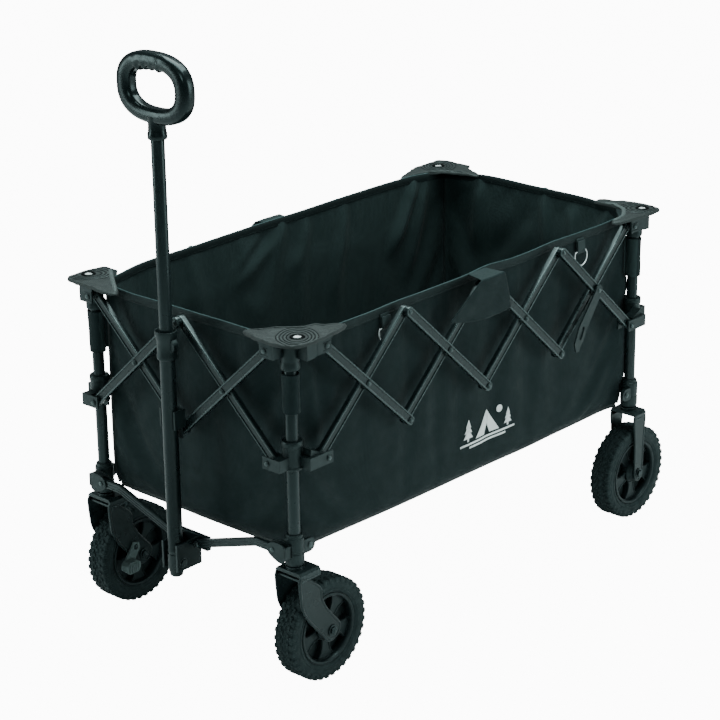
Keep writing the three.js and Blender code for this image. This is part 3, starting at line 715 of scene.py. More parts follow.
    # a web disc between hub and rim fills the wheel's openings: painted shade for the dark depth behind the spokes
    lathe(g, [(16, -2.2), (55.5, -2.2), (55.5, 2.2), (16, 2.2)], (X(axle), Y(0), 90), (0, 1, 0), 60, 2, close=True)
    for i in range(5):
        a = i * 2 * math.pi / 5 + 0.3
        d, n2 = np.array([math.cos(a), -math.sin(a)]), np.array([math.sin(a), math.cos(a)])
        pl = lambda p, q, t, d=d, n2=n2: (X(axle) + d[0] * p + n2[0] * q, Y(0) + t, 90 + d[1] * p + n2[1] * q)
        shape = smooth_loop([(16, -8.5), (28, -9.0), (42, -12.5), (56, -20), (56.6, 0), (56, 20), (42, 12.5), (28, 9.0), (16, 8.5)], 3)
        slab(g, shape, pl, -11.5, 11.5, 1)
        for s in (1, -1):
            ring = [pl(p, q, s * 11.4) for p, q in inset(shape, 0.4)] + [pl(p, q, s * 12.9) for p, q in inset(shape, 1.0)] + [pl(p, q, s * 12.9) for p, q in inset(shape, 2.2)] + [pl(p, q, s * 11.2) for p, q in inset(shape, 3.0)]
            n = len(shape)
            f = []
            for k in range(3):
                f += [(k * n + q, k * n + (q + 1) % n, (k + 1) * n + (q + 1) % n, (k + 1) * n + q) for q in range(n)]
            g.add(ring, f, 1)
    o = make(f"{name}_wheel_skin", g, f"{name}_wheel", ("tyre_rubber", "rim_plastic", "painted_shade_fill"), (f"{name}_wheel",), "tyre_rubber", 0, sharp=32)

# ------------------------------------------------------------------ latch, clip, base bracket and links

finish_node("frame_latch", ("moulded_plastic", "rivet_steel"), "moulded_plastic", 0.8,
            lambda g: dome(g, (EX - 3.5 * W, PY + 34.8, (TZ + LZ) / 2), (0, 1, 0), 4.4, 1.9, 1))
finish_node("handle_clip", ("moulded_plastic",), "moulded_plastic", 1.2)


def base_extra(g):
    for s in (1, -1):
        dome(g, (483.0, s * 26, 205), (1, 0, 0), 5.2, 2.0, 1)
        lathe(g, [(0, 0), (6.6, 0), (6.6, 2.6), (5.6, 3.4), (0, 3.4)], (505, s * 18.2, 177), (0, s, 0), 6, 1)
        lathe(g, [(0, 0), (8.4, 0), (8.4, 1.0), (0, 1.0)], (505, s * 18.2, 177), (0, s, 0), 28, 1)
        tube(g, [(466, s * 41.2, 216.4), (466, s * 41.2, 193.6)], 1.2, 8)


finish_node("handle_base_bracket", ("frame_paint", "rivet_steel"), "frame_paint", 1.6, base_extra)
for name, s in (("left", 1), ("right", -1)):
    def link_extra(g, s=s):
        for off in (-4.9, 0.0, 4.9):
            pts = [(198 if off > 0 else 196, 250 + off), (163, 250 + off), (158 - off * 0.1, 249 + off), (40, 209.6 + off * 0.95), (34, 207.8 + off * 0.95)]
            tube(g, [(480.6, s * y, z) for y, z in pts], 1.15, 8)
    finish_node(f"handle_link_{name}", ("frame_paint",), "frame_paint", 1.6, link_extra)

# ------------------------------------------------------------------ handle

g = Geo()
H = 505.0
prof = [(0, 149.2), (8.5, 149.2), (10.6, 150.8), (12.2, 158), (13.9, 166), (14.1, 170), (14.1, 190), (12.8, 191.2), (12.8, 193), (13.4, 194.2), (13.4, 197), (12.8, 198.5), (12.8, 536)]
lathe(g, prof + [(11.5, 536), (11.5, 205), (0, 205)], (H, 0, 0), (0, 0, 1), 44, 0)
# collar with a rolled open lip and its release tab
lathe(g, [(11.4, 533), (15.2, 533), (16.6, 535), (16.9, 541), (16.2, 543), (16.2, 566), (17.0, 568), (17.6, 574), (18.2, 580), (17.8, 582), (16.2, 582), (15.0, 579), (11.4, 572)], (H, 0, 0), (0, 0, 1), 44, 1, close=True,
      squeeze=lambda t, h: 1.0 + (0.05 * max(0.0, math.cos(t - 0.6)) if h > 572 else 0))
slab(g, smooth_loop([(548, 15), (553, 22), (561, 23.5), (566, 20), (568, 15)], 2), lambda p, q, t: (H + t, q, p), -5, 6, 1)
make("handle_outer_tube_skin", g, "handle_outer_tube", ("frame_paint", "moulded_plastic"), ("handle_outer_tube",), "frame_paint", 0.5, sharp=30)

g = Geo()
lathe(g, [(9.6, 530.5), (11, 530.5), (11, 912), (10.2, 914), (9.6, 914)], (H, 0, 0), (0, 0, 1), 40, 0, close=True)
make("handle_inner_tube_skin", g, "handle_telescope", ("frame_paint",), ("handle_inner_tube",), "frame_paint", 0.3, sharp=30)


def sup(a, b, n, t):
    c, s = math.cos(t), math.sin(t)
    return np.array([a * math.copysign(abs(c) ** (2 / n), c), b * math.copysign(abs(s) ** (2 / n), s)])


g = Geo()
rows, verts, faces = [], [], []
NT, NS = 200, 40
for i in range(NT):
    t = 2 * math.pi * i / NT
    o, q = sup(80, 57, 2.45, t), sup(51, 31, 2.5, t)
    deg = math.degrees(t)
    ridge = sum(math.exp(-(((q[0] - c) / 3.4) ** 2)) for c in (-27, -13, 1, 15))
    q = q - np.array([0, 4.6 * ridge]) if 30 < deg < 150 else q
    mid, half = (o + q) / 2, (o - q) / 2
    ids = []
    for k in range(NS):
        s = 2 * math.pi * k / NS
        cs, sn = math.cos(s), math.sin(s)
        e = 2 / 2.7
        r1, r2 = math.copysign(abs(cs) ** e, cs), math.copysign(abs(sn) ** e, sn)
        groove = 0.975 if k in (0, NS // 2) else 1.0
        p = mid + half * r1 * groove
        ids.append(len(verts))
        verts.append((H + 14 * r2, p[0], 978 + p[1]))
    rows.append(ids)
for i in range(NT):
    A, B = rows[i], rows[(i + 1) % NT]
    faces += [(A[k], A[(k + 1) % NS], B[(k + 1) % NS], B[k]) for k in range(NS)]
g.add(verts, faces, 0)
neck = [(11.6, 897), (14.6, 897), (15.6, 898.5), (15.8, 906), (14.8, 908), (14.4, 914), (14.2, 921), (14.6, 928), (15.8, 934), (11.6, 934)]
lathe(g, neck, (H, 0, 0), (0, 0, 1), 44, 0, close=True)
for t, in ((78,), (168,), (-76,), (20,)):
    a = math.radians(t)
    c = (sup(80, 57, 2.45, a) + sup(51, 31, 2.5, a)) / 2
    for sgn in (1, -1):
        lathe(g, [(2.2, -1.6), (3.6, -1.6), (3.6, 0.25), (3.2, 0.5), (2.6, 0.5), (2.2, 0.2)], (H + sgn * 13.7, c[0], 978 + c[1]), (sgn, 0, 0), 20, 0, close=True)
        lathe(g, [(0, -1.2), (2.3, -1.2), (2.3, -0.5), (0, -0.5)], (H + sgn * 13.7, c[0], 978 + c[1]), (sgn, 0, 0), 16, 1)
make("handle_grip_skin", g, "handle_telescope", ("grip_plastic", "zinc_steel"), ("handle_grip",), "grip_plastic", 0, sharp=45)

# ------------------------------------------------------------------ basket fabric

BX, BY, CUT = 442.0, 213.0, 4.0
TOPZ, BOTZ = 599.0, 232.0
ROWS = 36


def perimeter():
    """Points round the basket with outward directions; the four walls start at the marked indices."""
    corner = [(BX - CUT, BY), (-(BX - CUT), BY), (-BX, BY - CUT), (-BX, -(BY - CUT)), (-(BX - CUT), -BY), (BX - CUT, -BY), (BX, -(BY - CUT)), (BX, BY - CUT)]
    counts = [84, 1, 42, 1, 84, 1, 42, 1]
    pts, nrm, marks = [], [], []
    for i in range(8):
        a, b = np.array(corner[i]), np.array(corner[(i + 1) % 8])
        d = (b - a) / np.linalg.norm(b - a)
        marks.append(len(pts))
        for k in range(counts[i]):
            pts.append(a + (b - a) * k / counts[i])
            nrm.append(np.array([-d[1], d[0]]) * -1)
    nrm = np.array([-n for n in nrm])
    pts = np.array(pts)
    out = (np.roll(nrm, 1, 0) + nrm + np.roll(nrm, -1, 0)) / 3
    out /= np.linalg.norm(out, axis=1)[:, None]
    flip = np.sign(np.sum(out * pts, axis=1))[:, None]
    return pts, out * flip, marks


def ease(t):
    t = min(1.0, max(0.0, t))
    return t * t * (3 - 2 * t)


ring, outward, marks = perimeter()
NC = len(ring)
def rim_height(x, y):
    """The rim sits lowest along the near side and is pushed up by the bars' ends along the far one."""
    sides = ((BY - y, 598.0), (BX - x, 600.0), (x + BX, 605.5), (y + BY, 609.0))
    wsum = sum(1 / (max(d, 0) + 12) ** 2 for d, _ in sides)
    z = sum(h / (max(d, 0) + 12) ** 2 for d, h in sides) / wsum
    if BY - y < 30:
        z += 4.5 * math.exp(-(((x + 36) / 42) ** 2)) + 1.5 * math.exp(-(((x - 204) / 40) ** 2)) + 2.0 * math.exp(-(((x + 214) / 40) ** 2))
    return z


rim_wave = np.array([1.6 * noise.noise(Vector((p[0] / 160, p[1] / 160, 3.3))) for p in ring])

# standing folds: wall, one end and the other (along, height), half-width, how far they stand inward
FOLDS = [
    ("right", (-362, 598), (-292, 480), 11, 15.0),
    ("right", (-384, 580), (-336, 430), 11, 10.0),
    ("right", (-10, 590), (120, 520), 14, 10.0),
    ("right", (60, 590), (140, 540), 10, 6.0),
    ("right", (-170, 590), (-125, 430), 13, 8.0),
    ("right", (-70, 585), (-25, 505), 12, 6.0),
    ("right", (230, 560), (205, 380), 24, 6.0),
    ("rear", (-131, 594), (-141, 470), 12, 10.0),
    ("rear", (19, 585), (36, 480), 11, 9.0),
    ("rear", (-10, 562), (-104, 450), 17, -6.0),
    ("rear", (84, 580), (98, 500), 12, 8.0),
    ("rear", (160, 590), (150, 470), 14, 7.0),
    ("left", (404, 560), (384, 405), 8, -6.5),
    ("left", (352, 500), (396, 395), 9, -3.5),
    ("left", (-395, 330), (-300, 240), 16, -3.5),
    ("front", (-180, 420), (-196, 300), 10, -4.0),
    ("front", (120, 560), (150, 470), 14, -3.5),
]


def fold_push(x, y, z):
    """How far the standing folds carry the wall inward there."""
    total = 0.0
    for side, (u0, z0), (u1, z1), wd, amp in FOLDS:
        on_it = {"right": y < -BY + 1, "left": y > BY - 1, "rear": x < -BX + 1, "front": x > BX - 1}[side]
        if not on_it:
            continue
        u = x if side in ("right", "left") else y
        du, dz = u1 - u0, z1 - z0
        t = ((u - u0) * du + (z - z0) * dz) / (du * du + dz * dz)
        d = abs((u - u0) * dz - (z - z0) * du) / math.hypot(du, dz)
        along = ease((t + 0.12) / 0.3) * ease((1.25 - t) / 0.5)
        total += amp * along * math.exp(-((d / wd) ** 2))
    return total


rest = np.zeros((ROWS + 1, NC, 3))
for r in range(ROWS + 1):
    t = r / ROWS
    for k in range(NC):
        edge = min(abs(abs(ring[k][0]) - BX) + abs(abs(ring[k][1]) - BY), 400)
        top = rim_height(*ring[k]) + rim_wave[k] - 4.0 * ease(1 - edge / 130)
        bot = BOTZ + 5.0 * ring[k][0] / BX - 3.0 * ease(edge / 300)
        z = top + (bot - top) * t
        o = (10.0 * ease((z - 505) / 95) * ease((edge - 8) / 90) + 4.0 * math.sin(math.pi * ease(t)) * ease(edge / 260)) - 6.0 * ease((t - 0.93) / 0.07)
        o += 2.2 * noise.noise(Vector((ring[k][0] / 120, ring[k][1] / 120, z / 240)))
        if ring[k][0] < -BX + 1:
            o += 5.0 * ease((z - 555) / 45) * ease((edge - 8) / 60)
        o -= fold_push(ring[k][0], ring[k][1], z) * ease((top - z) / 14) * ease((z - bot) / 20)
        # the rear left corner seam lies against its post between the sleeve, slider and socket
        free = max(min(ease((z - 438) / 8), ease((484 - z) / 8)), min(ease((z - 268) / 10), ease((392 - z) / 8)))
        o += (4.0 + 6.0 * free) * ease(1 - math.hypot(ring[k][0] + BX, ring[k][1] - BY) / 46)
        p = ring[k] + outward[k] * o
        rest[r, k] = (p[0], p[1], z)


def run_cloth(grid):
    """Hangs the basket's wall between its rim and its floor seam and lets the slack settle into folds."""
    n = grid.shape[0] * grid.shape[1]
    faces = [(r * NC + k, r * NC + (k + 1) % NC, (r + 1) * NC + (k + 1) % NC, (r + 1) * NC + k) for r in range(ROWS) for k in range(NC)]
    me = bpy.data.meshes.new("cloth")
    me.from_pydata(P(grid.reshape(-1, 3)).tolist(), [], faces)
    o = bpy.data.objects.new("cloth", me)
    scene.collection.objects.link(o)
    pins = o.vertex_groups.new(name="pins")
    slack = o.vertex_groups.new(name="slack")
    for r in range(ROWS + 1):
        for k in range(NC):
            x, y = ring[k]
            far = ease((-y - 120) / 90) if abs(y) > abs(x) * BY / BX else ease((-x - 300) / 140)
            slack.add([r * NC + k], far, "REPLACE")
    for r in range(ROWS + 1):
        for k in range(NC):
            w = 0.0
            if r <= 0 or r >= ROWS:
                w = 1.0
            edge = abs(abs(ring[k][0]) - BX) + abs(abs(ring[k][1]) - BY)
            z = grid[r, k, 2]
            if edge < 8:
                w = 1.0
            if w:
                pins.add([r * NC + k], w, "REPLACE")
    mod = o.modifiers.new("cloth", "CLOTH")
    s = mod.settings
    s.quality, s.mass = 6, 0.35
    s.tension_stiffness = s.compression_stiffness = 18
    s.shear_stiffness, s.bending_stiffness = 6, 2.2
    s.air_damping, s.tension_damping, s.compression_damping = 4, 12, 12
    s.vertex_group_mass = "pins"
    s.vertex_group_shrink = "slack"
    s.shrink_min = -0.012
    s.shrink_max = -0.045
    s.use_pressure = True
    s.uniform_pressure_force = 0.35
    mod.collision_settings.use_collision = False
    mod.collision_settings.use_self_collision = False
    mod.point_cache.frame_start, mod.point_cache.frame_end = 1, 34
    for f in range(1, 35):
        scene.frame_set(f)
    dg = bpy.context.evaluated_depsgraph_get()
    e = o.evaluated_get(dg).to_mesh()
    co = np.array([v.co for v in e.vertices], float) * 1000
    o.evaluated_get(dg).to_mesh_clear()
    scene.frame_set(1)
    bpy.data.objects.remove(o, do_unlink=True)
    co[:, 0] -= SHIFT
    return co.reshape(grid.shape)


wall = run_cloth(rest)
move = wall - rest
# the bars outside keep the wall in, so it can bulge less outward than inward
outw = np.sum(move[:, :, :2] * outward[None], axis=2)
back = np.maximum(0.0, outw - 7.0) * 0.85
move[:, :, :2] -= back[:, :, None] * outward[None]
far = np.linalg.norm(move, axis=2, keepdims=True)
wall = rest + move * np.minimum(1.0, 15.0 / np.maximum(far, 1e-6))

# the wall's hem turns in under the floor
hem = wall[-1].copy()
hem[:, :2] -= outward * 9
hem[:, 2] -= 3.0
wall = np.concatenate([wall, hem[None]], axis=0)

WALLS = {
    "left": (marks[0], marks[1], "front_left_corner"),
    "rear": (marks[1], marks[4], "rear_left_corner"),
    "right": (marks[4], marks[5], "front_right_corner"),
    "front": (marks[5], NC, "front_left_corner"),
}
A = lambda x, y: ((x + SHIFT) / 1000, y / 1000, 0.4)
KEEP_X, KEEP_Y = (876 - 638.4) / 876, (426 - 319.2) / 426
FOLD = {
    "left": dict(axis=(1, 0, 0), anchor=A(BX - CUT, BY), keep=KEEP_X),
    "right": dict(axis=(1, 0, 0), anchor=A(BX - CUT, -BY), keep=KEEP_X),
    "front": dict(axis=(0, 1, 0), anchor=A(BX, BY), keep=KEEP_Y),
    "rear": dict(axis=(0, 1, 0), anchor=A(-BX, BY), keep=KEEP_Y),
}


def with_wall(o, side):
    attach(o, WALLS[side][2])
    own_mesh(o)
    return o


for side, (k0, k1, body) in WALLS.items():
    cols = [k % NC for k in range(k0, k1 + 1)]
    part = wall[:, cols]
    R, C = part.shape[:2]
    faces = [(r * C + k, r * C + k + 1, (r + 1) * C + k + 1, (r + 1) * C + k) for r in range(R - 1) for k in range(C - 1)]
    g = Geo().add(part.reshape(-1, 3), faces)
    o = make(f"basket_{side}_wall", g, None, ("basket_fabric",), (), "basket_fabric", sub=1, solid=1.5, sharp=180)
    with_wall(o, side)
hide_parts("basket_walls")


def smooth_rows(a, n=2):
    a = a.copy()
    for _ in range(n):
        b = a.copy()
        b[1:-1] = (a[:-2] + 2 * a[1:-1] + a[2:]) / 4
        a = b
    return a


extras = {s: [] for s in WALLS}
for side, (k0, k1, body) in WALLS.items():
    cols = [k % NC for k in range(k0, k1 + 1)]
    top = smooth_rows(wall[0][cols])
    # folded binding tape over the rim, with a row of stitches inside and outside
    g = Geo()
    tape = [(-2.3, -12.4), (-2.5, -3), (-2.1, 0.2), (-1.3, 1.5), (0, 2.0), (1.3, 1.5), (2.1, 0.2), (2.5, -3), (2.3, -12.4), (1.9, -13.2), (1.1, -13.0), (0.9, -6), (-0.9, -6), (-1.1, -13.0), (-1.9, -13.2)]
    sweep(g, top, tape)
    length = np.concatenate([[0], np.cumsum(np.linalg.norm(np.diff(top, axis=0), axis=1))])
    out2 = outward[cols]
    for s in (1, -1):
        for d in np.arange(6, length[-1] - 6, 5.2):
            a, b = (np.array([np.interp(x, length, top[:, q]) for q in range(3)]) for x in (d, d + 3.2))
            n2 = np.array([np.interp(d, length, out2[:, q]) for q in range(2)] + [0])
            tube(g, [a + n2 * s * 2.5 + (0, 0, -10.4), b + n2 * s * 2.5 + (0, 0, -10.4)], 0.34, 5, m=1)
    o = make(f"basket_{side}_rim_binding", g, None, ("rim_tape_painted_highlight", "webbing"), (), "binding_fabric", sharp=50)
    extras[side].append(with_wall(o, side))
    # bottom seam: a narrow folded tape
    bot = smooth_rows((wall[-2][cols] * 0.6 + wall[-1][cols] * 0.4))
    g = Geo()
    sweep(g, bot + np.column_stack([out2 * 1.6, np.zeros(len(bot))]), [(-1.2, -5), (-1.2, 4), (0, 4.8), (1.2, 4), (1.2, -5), (0, -5.8)])
    o = make(f"basket_{side}_floor_seam", g, None, ("binding_fabric",), (), "binding_fabric", sharp=60)
    extras[side].append(with_wall(o, side))

# upright corner piping, which stays with its own corner
for name, sx, sy in CORNERS:
    body = f"{name}_corner"
    g = Geo()
    k = int(np.argmin(np.abs(ring[:, 0] - sx * (BX - CUT)) + np.abs(ring[:, 1] - sy * BY)))
    k2 = int(np.argmin(np.abs(ring[:, 0] - sx * BX) + np.abs(ring[:, 1] - sy * (BY - CUT))))
    line = smooth_rows((wall[2:-1, k] + wall[2:-1, k2]) / 2, 3)
    diag = np.array([sx * 0.7071, sy * 0.7071, 0.0])
    line = line + diag * 1.2
    sweep(g, line[::-1], [(-1.1, -2.2), (-1.3, 1.6), (0, 2.4), (1.3, 1.6), (1.1, -2.2)], up=diag)
    make(f"{name}_corner_piping", g, body, ("binding_fabric",), (), "binding_fabric", sharp=60)

    # corner patch over the connector, round the eyelet
    ex, ey = {"front_left": (446, 234), "front_right": (446, 250), "rear_left": (462, 238), "rear_right": (443, 232)}[name]
    outline = {
        "front_left": [(478, 262), (440, 267), (394, 264), (352, 247), (334, 235), (345, 228), (375, 222), (408, 205), (432, 181), (446, 158), (454, 139), (464, 133), (474, 148), (489, 180), (493, 205), (493, 231), (488, 251)],
        "front_right": [(480, 265), (452, 269), (426, 268.5), (403, 261), (398, 250), (404, 236), (421, 214), (438, 192), (456, 168), (472, 147), (482, 142), (489, 152), (492, 176), (491, 206), (488, 242)],
        "rear_left": [(476, 266), (438, 269), (400, 267), (366, 258), (356, 249), (366, 241), (400, 236), (430, 214), (441, 188), (443, 166), (445, 147), (453, 138), (466, 147), (474, 170), (486, 206), (489, 238), (484, 256)],
        "rear_right": [(474, 260), (437, 262), (399, 258), (352, 244), (332, 234), (345, 227), (385, 219), (414, 196), (430, 170), (437, 146), (444, 134), (454, 140), (468, 172), (482, 200), (484, 228), (482, 248)],
    }[name]
    outline = smooth_loop(outline, 4)
    NA = 144
    rings = list(np.arange(7.0, 40, 1.3)) + [None] * 14
    verts, rowid = [], []
    poly = np.array(outline)

    def reach_of(th):
        d = np.array([math.cos(th), math.sin(th)])
        best = 1e9
        for i in range(len(poly)):
            a, b = poly[i] - (ex, ey), poly[(i + 1) % len(poly)] - (ex, ey)
            e = b - a
            den = d[0] * e[1] - d[1] * e[0]
            if abs(den) < 1e-9:
                continue
            t = (a[0] * e[1] - a[1] * e[0]) / den
            s = (a[0] * d[1] - a[1] * d[0]) / den
            if t > 0 and -1e-6 <= s <= 1 + 1e-6:
                best = min(best, t)
        return best

    def patch_z(x, y):
        far = math.hypot(x - ex, y - ey)
        z = 608.2 - (6.5 if sy > 0 and sx > 0 else 1.5) * max(ease((PX - x - 56) / 60), ease((PY - y - 32) / 56))
        z += 2.6 * abs(noise.noise(Vector((x * sx / 26, y * sy / 26, 1.7)))) * ease((far - 10) / 40)
        z += 2.2 * abs(noise.noise(Vector((x * sx / 11 + 7, y * sy / 15, 4.1)))) * ease((far - 34) / 24)
        return z

    reach = [reach_of(2 * math.pi * i / NA) for i in range(NA)]
    NR = len(rings)
    for r in range(NR):
        for i in range(NA):
            th = 2 * math.pi * i / NA
            R = reach[i]
            f = r / (NR - 1)
            # fine rings near the eyelet, spreading to the outline
            inner = 7.0 + 1.3 * r
            rr = inner if inner < 20 else None
            q = min(1.0, max(0.0, (r - 9) / (NR - 10)))
            a0 = min(7.0 + 1.3 * r, 7.0 + 1.3 * 9 + (R - 18.7) * q) if r <= 9 else 18.7 + (R - 18.7) * q
            x, y = ex + a0 * math.cos(th), ey + a0 * math.sin(th)
            z = patch_z(x, y)
            z -= 3.4 * max(0.0, (a0 / R - 0.965) / 0.035) if R > 22 else 0
            rad = math.hypot((x - ex), (y - ey))
            verts.append((sx * x, sy * y, z))
    faces = [(r * NA + i, r * NA + (i + 1) % NA, (r + 1) * NA + (i + 1) % NA, (r + 1) * NA + i) for r in range(NR - 1) for i in range(NA)]
    # close it as a thin sheet
    n = len(verts)
    low = [(x, y, z - 1.5) for x, y, z in verts]
    allf = faces + [tuple(i + n for i in reversed(f)) for f in faces]
    allf += [((NR - 1) * NA + i, (NR - 1) * NA + (i + 1) % NA, (NR - 1) * NA + (i + 1) % NA + n, (NR - 1) * NA + i + n) for i in range(NA)]
    allf += [(i, i + n, (i + 1) % NA + n, (i + 1) % NA) for i in range(NA)]
    g = Geo().add(verts + low, allf)
    patch = make(f"{name}_corner_patch", g, body, ("binding_fabric",), (), "binding_fabric", sharp=60)
    area = 0.5 * abs(sum(p[0] * q[1] - q[0] * p[1] for p, q in zip(outline, outline[1:] + outline[:1]))) / 1e6
    g = Geo()
    lathe(g, [(6.6, 0.2), (9.6, 0.2), (12.0, 1.0), (12.6, 1.8), (11.8, 2.7), (9.6, 3.1), (7.8, 2.8), (6.6, 1.8)], (sx * ex, sy * ey, 606.8), (0, 0, 1), 40, 0, close=True)
    lathe(g, [(0, 0.4), (6.8, 0.4), (6.8, 1.2), (6.2, 1.7), (5.4, 1.5), (3, 1.3), (0, 1.3)], (sx * ex, sy * ey, 606.6), (0, 0, 1), 32, 1)
    ring_shade_and_highlight = Geo()
    # near-black rings paint the shade in the stitched grooves, and pale rings are a painted highlight on the ridges
    # between them
    for c, rr, slot in ((17, 1.0, 0), (19.9, 0.7, 1), (22.6, 1.0, 0), (25.4, 0.7, 1), (28, 1.0, 0), (30.9, 0.7, 1), (33.6, 0.9, 0)):
        run = []
        for i in range(NA * 2):
            th = math.pi * i / NA
            R = reach[(i // 2) % NA]
            wide = c * (1 + 0.30 * abs(math.cos(th - 0.72)) ** 3)
            if wide < R - 3.5:
                x, y = ex + wide * math.cos(th), ey + wide * math.sin(th)
                z = patch_z(x, y)
                run.append((sx * x, sy * y, z - 0.25))
            elif len(run) > 3:
                tube(ring_shade_and_highlight, run, rr, 6, m=slot)
                run = []
            else:
                run = []
        if len(run) > 3:
            tube(ring_shade_and_highlight, run, rr, 6, m=slot)
    ring_shading_piece = make(f"{name}_patch_ring_shading", ring_shade_and_highlight, body, ("eyelet_black", "hem_tape"), (), "binding_fabric", sharp=180)
    inner_edge = {
        "front_left": [(345, 230), (375, 225), (410, 208), (435, 184), (449, 160), (457, 141)],
        "front_right": [(406, 240), (425, 217), (442, 195), (460, 171), (476, 150)],
        "rear_left": [(366, 245), (401, 240), (434, 218), (446, 190), (448, 164)],
        "rear_right": [(345, 231), (387, 223), (417, 199), (434, 173), (441, 149)],
    }[name]
    path = []
    for i in range(len(inner_edge) - 1):
        for q in np.linspace(0, 1, 9)[: 9 if i == len(inner_edge) - 2 else 8]:
            path.append(np.array(inner_edge[i], float) * (1 - q) + np.array(inner_edge[i + 1], float) * q)
    path = smooth_rows(np.array(path), 3)
    turned = Geo()
    run = []
    for i, (x, y) in enumerate(path):
        z = patch_z(x, y)
        run.append((sx * x, sy * y, z + 0.2 - 1.6 * ease(1 - min(i, len(path) - 1 - i) / 5) + 0.4 * math.sin(i * 0.8)))
    wide = 7.5 if sx * sy < 0 else 3.5
    sweep(turned, run, [(-wide * 0.5, -0.7), (-wide * 0.42, 0.7), (-wide * 0.15, 1.5), (wide * 0.15, 1.5), (wide * 0.42, 0.7), (wide * 0.5, -0.7)])
    turn = make(f"{name}_patch_hem", turned, body, ("hem_tape" if sx * sy < 0 else "binding_fabric",), (), "binding_fabric", sharp=60)
    eye = make(f"{name}_eyelet", g, body, ("eyelet_black", "bright_wire"), (), "zinc_steel", sharp=40)
    for piece in (patch, ring_shading_piece, turn):
        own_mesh(piece)

    # strap sleeve round the post, tied back to the basket's corner
    g = Geo()
    zc0, zc1 = (484, 549) if sx > 0 and sy > 0 else (480, 552)
    flat = lambda t, h: 1.0 + 0.05 * math.cos(2 * t) + 0.025 * math.sin(3 * t + h / 22)
    lathe(g, [(11.2, zc0), (12.6, zc0 - 0.6), (13.6, zc0), (13.9, zc0 + 20), (13.5, zc0 + 36), (14.4, zc1 - 4), (14.7, zc1), (13.7, zc1 + 0.7), (12.7, zc1), (11.2, zc0 + 30)], (sx * PX, sy * PY, 0), (0, 0, 1), 48, 0, close=True, squeeze=flat)
    tx, ty = sx * (BX - CUT / 2), sy * (BY - CUT / 2)
    d = np.array([tx - sx * PX, ty - sy * PY])
    d /= np.linalg.norm(d)
    n2 = np.array([-d[1], d[0]])
    a = np.array([sx * PX, sy * PY]) + d * 11
    b = np.array([tx, ty]) - d * 1.0
    for s0 in (0, 1):
        pts = [(a * (1 - q) + b * q) + n2 * (1.5 * math.sin(q * 3.1) + 3.0) for q in np.linspace(0, 1, 9)]
    strip = []
    for q in np.linspace(0, 1, 11):
        p = a * (1 - q) + b * q + n2 * (2.2 * math.sin(q * math.pi))
        strip.append(p)
    vv, ff = [], []
    for i, p in enumerate(strip):
        sag = 3.0 * math.sin(math.pi * i / 10)
        for z, off in ((zc0 + 2 + sag, -0.8), (zc1 - 2 - sag, -0.8), (zc1 - 2 - sag, 0.8), (zc0 + 2 + sag, 0.8)):
            vv.append((p[0] + n2[0] * off, p[1] + n2[1] * off, z))
    for i in range(10):
        ff += [(4 * i + j, 4 * i + (j + 1) % 4, 4 * i + 4 + (j + 1) % 4, 4 * i + 4 + j) for j in range(4)]
    ff += [(0, 1, 2, 3), (43, 42, 41, 40)]
    g.add(vv, ff)
    sleeve = make(f"{name}_post_sleeve", g, body, ("basket_fabric",), (), "basket_fabric", sharp=45)

# ------------------------------------------------------------------ details on the long walls


def wall_point(side, u, z, lift=0.0):
    """A point on the wall's outer face at that place along it and height."""
    k0, k1, _ = WALLS[side]
    cols = [k % NC for k in range(k0, k1 + 1)]
    part = wall[:-1, cols]
    axis = 0 if side in ("left", "right") else 1
    other = 1 - axis
    order = np.argsort(part[0, :, axis])
    us = part[0, order, axis]
    vals = []
    for j in (0, 1):
        i = int(np.clip(np.searchsorted(us, u) - 1 + j, 0, len(us) - 1))
        col = part[:, order[i]]
        vals.append(np.interp(-z, -col[:, 2], col[:, other]))
    i = int(np.clip(np.searchsorted(us, u) - 1, 0, len(us) - 2))
    t = float(np.clip((u - us[i]) / (us[i + 1] - us[i]), 0, 1))
    v = vals[0] * (1 - t) + vals[1] * t
    v += math.copysign(0.9 + lift, v)
    return (u, v, z) if axis == 0 else (v, u, z)


def decal(name, side, cells, size, centre, slant, mats, slot, lift=0.25):
    """Thin printed shape: polygons in label units laid on the wall."""
    bm = bmesh.new()
    for poly in cells:
        vs = [bm.verts.new((p, q, 0)) for p, q in poly]
        bm.faces.new(vs)
    bmesh.ops.triangulate(bm, faces=bm.faces)
    bmesh.ops.subdivide_edges(bm, edges=bm.edges, cuts=5, use_grid_fill=True)
    bm.verts.index_update()
    sgn = 1 if side == "left" else -1
    v = []
    for x in bm.verts:
        u = centre[0] - sgn * (x.co.x + slant * x.co.y) * size
        z = centre[1] + x.co.y * size
        v.append(wall_point(side, u, z, lift))
    f = [[q.index for q in fc.verts] for fc in bm.faces]
    bm.free()
    g = Geo().add(v, f)
    o = make(name, g, None, mats, (), slot, sharp=180)
    m = o.modifiers.new("thickness", "SOLIDIFY")
    m.thickness, m.offset = 0.0004, 0
    return with_wall(o, side)


def outline_strip(pts, w):
    """A closed outline as quads of that width."""
    inner = inset(pts, w)
    n = len(pts)
    return [[pts[i], pts[(i + 1) % n], inner[(i + 1) % n], inner[i]] for i in range(n)]


def circle(cx, cy, r, n=28):
    return [(cx + r * math.cos(2 * math.pi * i / n), cy + r * math.sin(2 * math.pi * i / n)) for i in range(n)]


